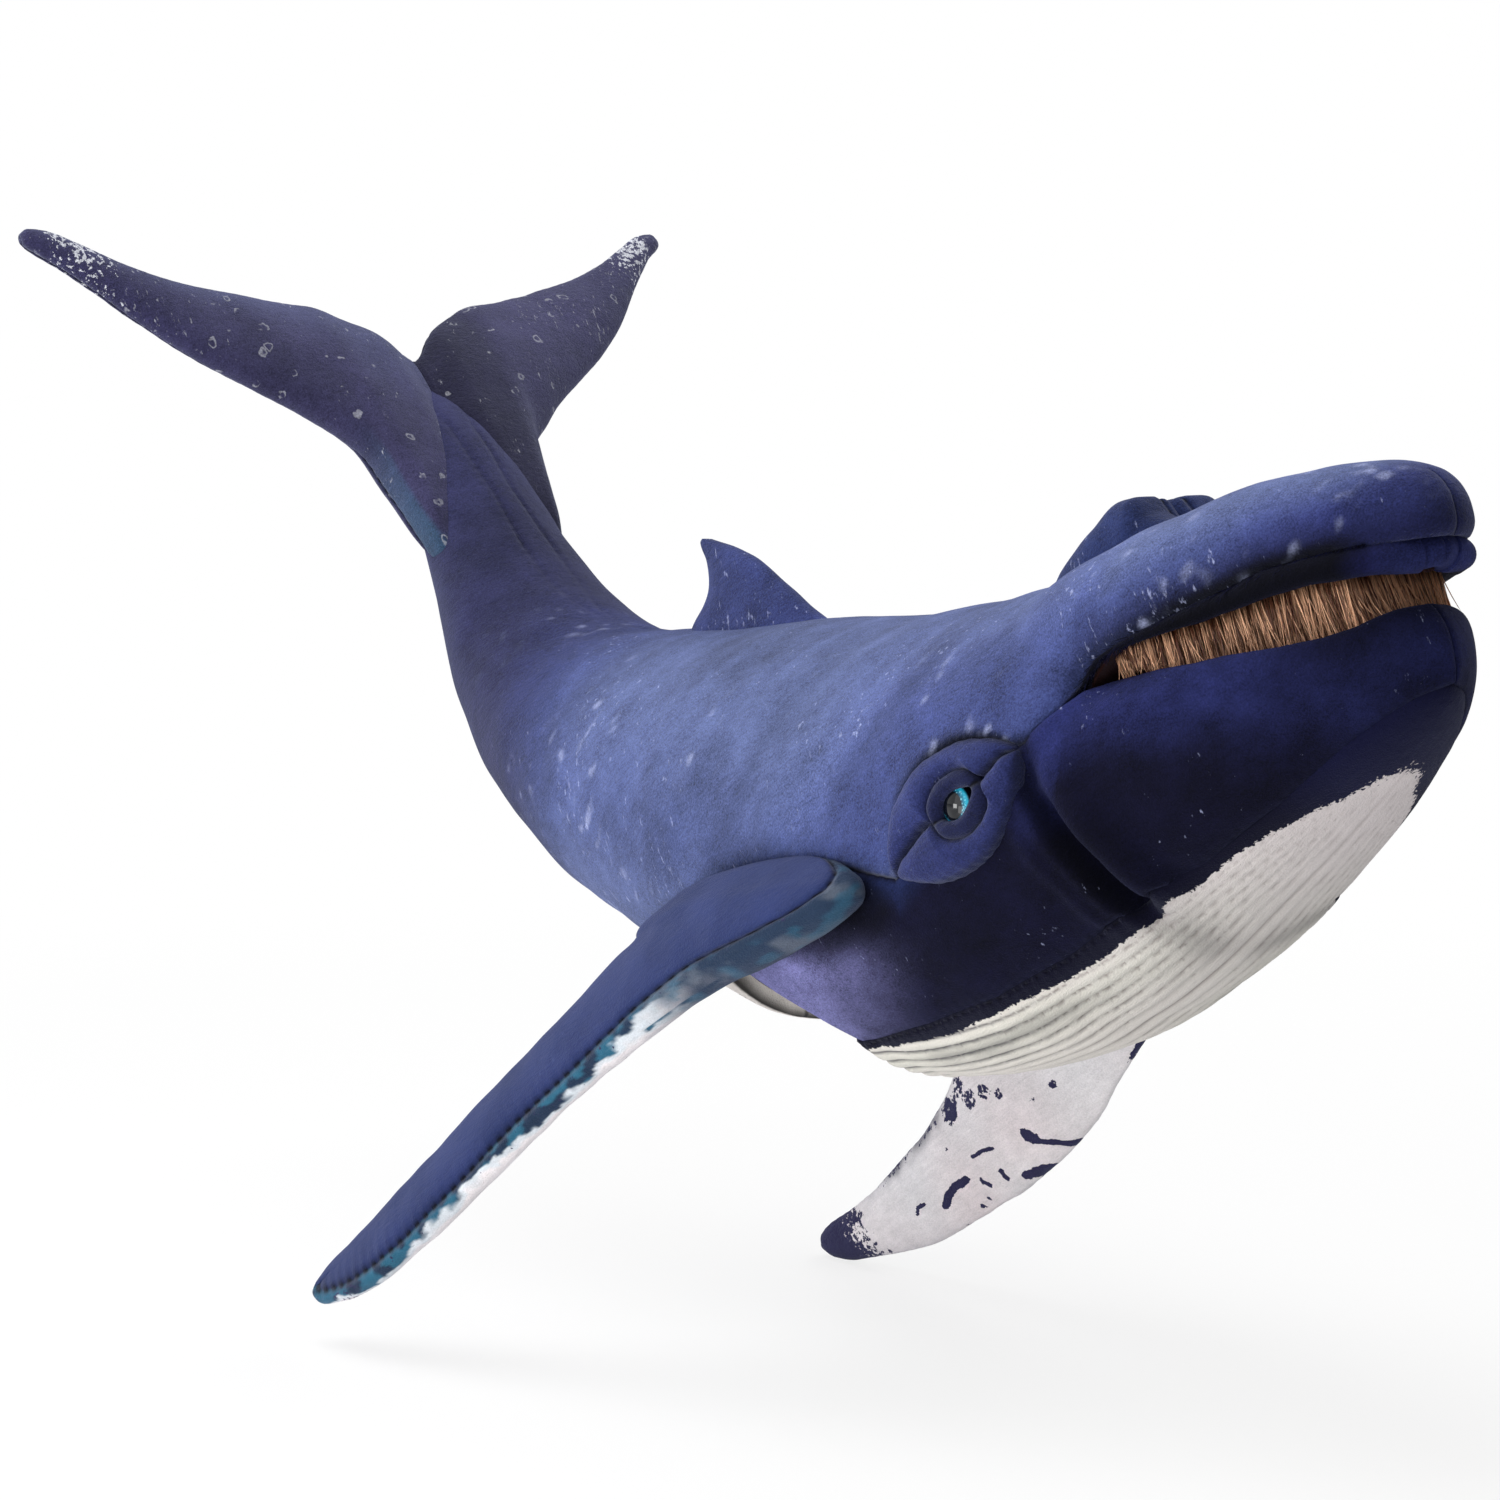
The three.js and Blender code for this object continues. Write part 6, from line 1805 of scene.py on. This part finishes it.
@dataclass
class Eyes:
    """Almond patches of two crescents, lid rings and glass eyes, one on each flank."""

    velours: Velours
    puff: float = 8.6
    dome: tuple[float, float] = (217.2, 4.6)
    radius: float = 7.4
    lid_reach: tuple[float, float] = (10.3, 7.4)
    lid_thick: float = 3.3

    def on_flank(self, u: Array, v: Array, out: Array, side: int) -> Array:
        """A point of the patch: u and v turned on the flank, then out along y."""
        turn = math.radians(EYE_TURN)
        x = EYE_MIDDLE[0] + u * math.cos(turn) - v * math.sin(turn)
        z = EYE_MIDDLE[1] + u * math.sin(turn) + v * math.cos(turn)
        return np.stack([x, side * (flank_at(x.ravel(), z.ravel()).reshape(x.shape) + out), z], -1)

    def crescent(self, side: int, above: bool) -> tuple[Surface, Array, Array]:
        """Half of the patch, a puffed form between the almond's outline and the lid.

        Across each ring the height is puff * |sin|^0.75 on top and 3.5 below the cloth.
        """
        u = np.linspace(-37.6, 30.6, 110)
        outer = almond(u, 34.6, 0.72)
        split = np.interp(u, [-38, -29, -16.7, -9, 3, 14, 18.7, 27, 30],
                          [-1, 0.9, 2.1, 1.5, 0.5, -0.8, 0.2, 1.1, 0])
        lid = np.clip(1 - ((u - 3) / 13.2) ** 2, 0, 1) ** 0.5 * 10.3
        if above:
            inner = np.maximum(split + 0.25, np.where(lid > 0, lid - 1, -99))
            low, high = inner, np.maximum(outer, inner + 0.3)
        else:
            inner = np.minimum(split - 0.25, np.where(lid > 0, -lid - 1, 99))
            low, high = np.minimum(-outer, inner - 0.3), inner
        angle = circle(72)[None]
        middle, half = (low + high)[:, None] / 2, (high - low)[:, None] / 2
        v = middle + half * np.cos(angle)
        tall = self.puff * (1 - np.exp(-half / 3.6)) * np.ones_like(angle)
        out = np.where(np.sin(angle) > 0, tall * np.abs(np.sin(angle)) ** 0.75,
                       -3.5 * np.abs(np.sin(angle))) - 1.6
        rings = self.on_flank(u[:, None] * np.ones_like(angle), v, out, side)
        form = loft(rings)
        run = np.concatenate([[u[0]], u, [u[-1]]]).repeat(72)
        edge = np.concatenate([half[:1], half, half[-1:]]) * (1 - np.abs(np.cos(angle)))
        return form, run, edge.ravel()

    def build(self) -> None:
        """Makes both eyes."""
        glass = Glass("eye_glass").material()
        for name, side in SIDES:
            for part, above in (("upper", True), ("lower", False)):
                form, run, edge = self.crescent(side, above)
                pucker = 0.12 * np.cos(run * 1.3 + 2 * lumps(form.points, 9, 74))
                pucker = pucker * np.exp(-edge / 2.5)
                form = form.raised(pucker + 0.3 * lumps(form.points, 8, 71))
                base = toned(plain(Ink.PATCH, form.points), 0.15 * lumps(form.points, 9, 72))
                if above:
                    base = dyed(base, Ink.HEAD, 0.3 * smooth(0, 8, edge))
                # Painted shade along the crescents' sewn edges.
                base = base * (0.45 + 0.55 * smooth(0, 2.2, edge))[:, None]
                skin = Skin(form, base, fleck=np.full(len(base), 0.12),
                            seam=np.full(len(base), 9.0), run=run)
                skin.piece(f"eye_crescent_{part}_{name}", self.velours["patch"],
                           "velour_flank", 0.8)
            self.lid(name, side)
            self.eye(name, side, glass)

    def lid(self, name: str, side: int) -> None:
        """A soft ring round the eye: a tube on an ellipse, pinched at its two corners."""
        around, angle = circle(120)[:, None], circle(28)[None]
        pinch = 1 - 0.35 * np.abs(np.cos(around)) ** 8
        thick = self.lid_thick * pinch
        u = 3 + (self.lid_reach[0] + thick * np.cos(angle)) * np.cos(around)
        v = -1 + (self.lid_reach[1] + thick * np.cos(angle)) * np.sin(around)
        out = 1.6 + 3.8 * pinch * np.sin(angle)
        rings = self.on_flank(u, v, out, side)
        rings = np.concatenate([rings, rings[:1]])
        form = Surface(rings.reshape(-1, 3), grid_faces(len(rings), 28)).turned_out()
        form = form.raised(0.25 * lumps(form.points, 5, 73))
        corner = np.minimum(np.abs(np.sin(around)) * 9, 9) * np.ones_like(angle)
        corner = np.concatenate([corner, corner[:1]]).ravel()
        base = plain(Ink.LID, form.points)
        skin = Skin(form, base, fleck=np.full(len(base), 0.1), seam=corner, run=form.points[:, 1])
        skin.piece(f"eyelid_ring_{name}", self.velours["patch"], "velour_flank", 0.9)

    def eye(self, name: str, side: int, glass: Material) -> None:
        """The dome: height * sqrt(1 - (r / R)^2) over a short rim, on the flank."""
        share = np.sin(np.linspace(0, math.pi / 2, 26))[1:, None]
        around = circle(72)[None]
        x = self.dome[0] + self.radius * share * np.cos(around)
        z = self.dome[1] + self.radius * share * np.sin(around)
        flank = float(flank_at(*np.array(self.dome)[:, None])[0])
        out = flank - 1.2 + 5.0 * np.sqrt(np.clip(1 - share**2, 0, 1)) * np.ones_like(around)
        rings = np.stack([x, side * out, z], -1)
        foot = rings[-1:] - [0, side * 3.0, 0]
        form = loft(np.concatenate([rings, foot]))
        piece = as_mesh(f"eye_dome_{name}", form)
        away = np.concatenate([[0], share[:, 0], [1, 1]]).repeat(72) * self.radius
        set_attribute(piece, "away", away)
        piece.data.materials.append(glass)
        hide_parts(f"eye_{name}")
        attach(piece, ROOT)


@dataclass
class Inside:
    """The lining of the hand space, the padded wall behind it, and the eyes' washers."""

    velours: Velours
    inset: float = 10

    def build(self) -> None:
        """Makes the linings and dresses the washers."""
        rows = [[r[0], r[1], 0, r[3] - self.inset, r[4] - self.inset, r[5] - self.inset, r[6]]
                for r in BODY[7:13]]
        form = loft(trunk_rings(rows, 60, 90))
        x, z = form.points[:, 0], form.points[:, 2]
        level = np.interp(x, [0, 60, 136, 240], [-40, -40, -60, -20])
        inside = (z > level) & (x > 24) & (x < 236)
        arch = Surface(form.points, form.faces[inside[form.faces].all(1)][:, ::-1]).compact()
        skin = Skin(arch, plain(Ink.LINING, arch.points))
        thicken(skin.piece("hand_lining", self.velours["lining"], "lining", 0.2, []), 0.0012)
        wide, up, down = 74 - self.inset + 2, 68 - self.inset + 2, 71 - self.inset + 2
        place = [[13, -18.5, 0, wide - 4, up - 4, down - 4, 2.1], [14.5, -18.5, 0, wide, up, down, 2.1],
                 [19.5, -18.5, 0, wide, up, down, 2.1], [22, -18.5, 0, wide - 9, up - 9, down - 9, 2.1],
                 [23, -18.5, 0, wide - 30, up - 30, down - 30, 2.1]]
        form = loft(trunk_rings(place, 26, 90))
        form = form.raised(0.6 * lumps(form.points, 18, 81))
        skin = Skin(form, plain(Ink.LINING, form.points))
        skin.piece("bulkhead_lining", self.velours["lining"], "lining", 0.5, ["trunk_bulkhead"])
        plastic, node, shader = new_finish("washer_plastic")
        cloud = node.noise(node.place(), 300, 3)
        node.fill(shader, {
            "Base Color": node.mix(cloud, (0.55, 0.56, 0.58), (0.72, 0.72, 0.72)),
            "Roughness": node.math("MULTIPLY_ADD", cloud, 0.2, 0.35)})
        for name in ("eye_washer_right", "eye_washer_left"):
            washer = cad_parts[name]
            washer.data.materials.clear()
            washer.data.materials.append(plastic)


def aim(piece: Piece, target: Array) -> None:
    """Turns a lamp or camera so that it looks at a point."""
    towards = Vector(tuple(target)) - piece.location
    piece.rotation_euler = towards.to_track_quat("-Z", "Y").to_euler()


@dataclass
class Studio:
    """Camera, lamps, white surroundings and a pale floor that keeps the shadow."""

    centre: tuple[float, float, float] = (-0.098, 0.0, 0.088)
    look: tuple[float, float, float] = (0.78369, -0.61229, 0.104528)
    lens: float = 106.08
    distance: float = 1.7
    around: float = 0.36
    half: float = 6.0
    gap: float = 0.0002
    lamps: tuple = (("key", (-0.3, -0.6, 1.8), 1.5, 31.0), ("fill", (0.2, -1.8, 0.35), 1.6, 9.0),
                    ("rim", (-0.4, 1.4, 1.3), 1.2, 11.0), ("low", (-0.25, -1.3, -0.15), 0.4, 6.0),
                    ("card", (0.3, -0.45, -0.19), 0.35, 1.5))

    def camera(self) -> None:
        """Places the camera at the photograph's angle."""
        lens = bpy.data.cameras.new("camera")
        lens.lens, lens.sensor_width = self.lens, 36
        camera = placed("camera", lens)
        camera.location = Vector(self.centre) + self.distance * Vector(self.look)
        aim(camera, self.centre)
        bpy.context.scene.camera = camera

    def lights(self) -> None:
        """Places the lamps and the world."""
        for name, place, size, power in self.lamps:
            light = bpy.data.lights.new(name, "AREA")
            light.size, light.energy = size, power
            lamp = placed(name, light)
            lamp.visible_camera = False
            lamp.location = Vector(place) + Vector(self.centre)
            aim(lamp, self.centre)
        world = bpy.data.worlds.new("studio")
        world.use_nodes = True
        bpy.context.scene.world = world
        node = Node(world.node_tree)
        path = node.add("ShaderNodeLightPath")
        seen = node.math("MAXIMUM", path.outputs["Is Camera Ray"], path.outputs["Is Glossy Ray"])
        seen = node.math("MAXIMUM", seen, path.outputs["Is Transmission Ray"])
        strength = node.math("MULTIPLY_ADD", seen, 1 - self.around, self.around)
        node.fill(world.node_tree.nodes["Background"], {"Color": (1, 1, 1, 1),
                                                        "Strength": strength})

    def floor(self) -> None:
        """Lays the floor at the object's lowest point."""
        half, low = self.half, min(float(CAD_BOX[0][2]), float(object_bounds()[0][2])) - self.gap
        mesh = bpy.data.meshes.new("floor")
        corners = [(-half, -half, low), (half, -half, low), (half, half, low), (-half, half, low)]
        mesh.from_pydata(corners, [], [(0, 1, 2, 3)])
        stuff, node, shader = new_finish("floor_paper")
        node.fill(shader, {"Base Color": (0.86, 0.86, 0.86, 1), "Roughness": 1.0})
        glow = node.add("ShaderNodeEmission", {"Color": (1, 1, 1, 1), "Strength": 1.0})
        spot = node.add("ShaderNodeTexCoord").outputs["Object"]
        away = node.add("ShaderNodeVectorMath", {"0": spot}, operation="LENGTH").outputs["Value"]
        bare = node.math("MULTIPLY_ADD", node.ramp(away, 0.45, 1.3), 0.22, 0.78)
        seen = node.add("ShaderNodeLightPath").outputs["Is Camera Ray"]
        share = node.math("MULTIPLY", seen, bare)
        mixed = node.add("ShaderNodeMixShader", {"Fac": share, "1": shader.outputs[0],
                                                 "2": glow.outputs[0]})
        below = node.add("ShaderNodeNewGeometry").outputs["Backfacing"]
        clear = node.add("ShaderNodeBsdfTransparent")
        shown = node.add("ShaderNodeMixShader", {"Fac": below, "1": mixed.outputs[0],
                                                 "2": clear.outputs[0]})
        node.fill(stuff.node_tree.nodes["Material Output"], {"Surface": shown.outputs[0]})
        mesh.materials.append(stuff)
        placed("floor", mesh)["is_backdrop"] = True

    def build(self) -> None:
        """Sets the whole stage."""
        bpy.context.scene.view_settings.view_transform = "Standard"
        self.camera()
        self.lights()
        self.floor()


def finishes() -> Velours:
    """The velours, from shared node groups."""
    groups = Groups(pile_group(), marks_group(), curls_group(), seam_group())
    kinds = {
        "flank": Velour("velour_flank"),
        "jowl": Velour("velour_jowl", mottle=1.2, sheen=0.05, sheen_tint=(0.4, 0.45, 1.0)),
        "throat": Velour("velour_throat", mottle=0.12, nap=0.12, tips=0.28, sheen=0.08,
                         blotch_scale=620, blotch_edge=0.05),
        "fluke": Velour("velour_fluke", mottle=0.6, fleck=Ink.CHALK, fleck_scale=620,
                        blotch_scale=480, blotch_edge=0.02, curls=0.22, sheen=0.3),
        "flipper": Velour("velour_flipper", mottle=0.3, nap=0.3, tips=0.5, blotch_scale=420,
                          blotch_edge=0.015, fleck=Ink.BACK),
        "patch": Velour("velour_patch", mottle=0.35, sheen=0.2),
        "lining": Velour("lining_cloth", mottle=0.3, nap=0.3, tips=0.3, sheen=0.05),
    }
    return {label: kind.material(groups) for label, kind in kinds.items()}


def main() -> None:
    """Builds the puppet, dresses it and sets the stage."""
    logging.basicConfig(level=logging.INFO, format="%(name)s: %(message)s")
    velours = finishes()
    for part in (Whale(velours), Flipper("right", -1, FLIPPER_RIGHT, 28, velours),
                 Flipper("left", 1, FLIPPER_LEFT, 0, velours), Tail(velours), Ridges(velours),
                 Mouth(velours), Eyes(velours), Inside(velours), Studio()):
        LOG.info("building %s", type(part).__name__)
        part.build()


if __name__ == "__main__":
    main()
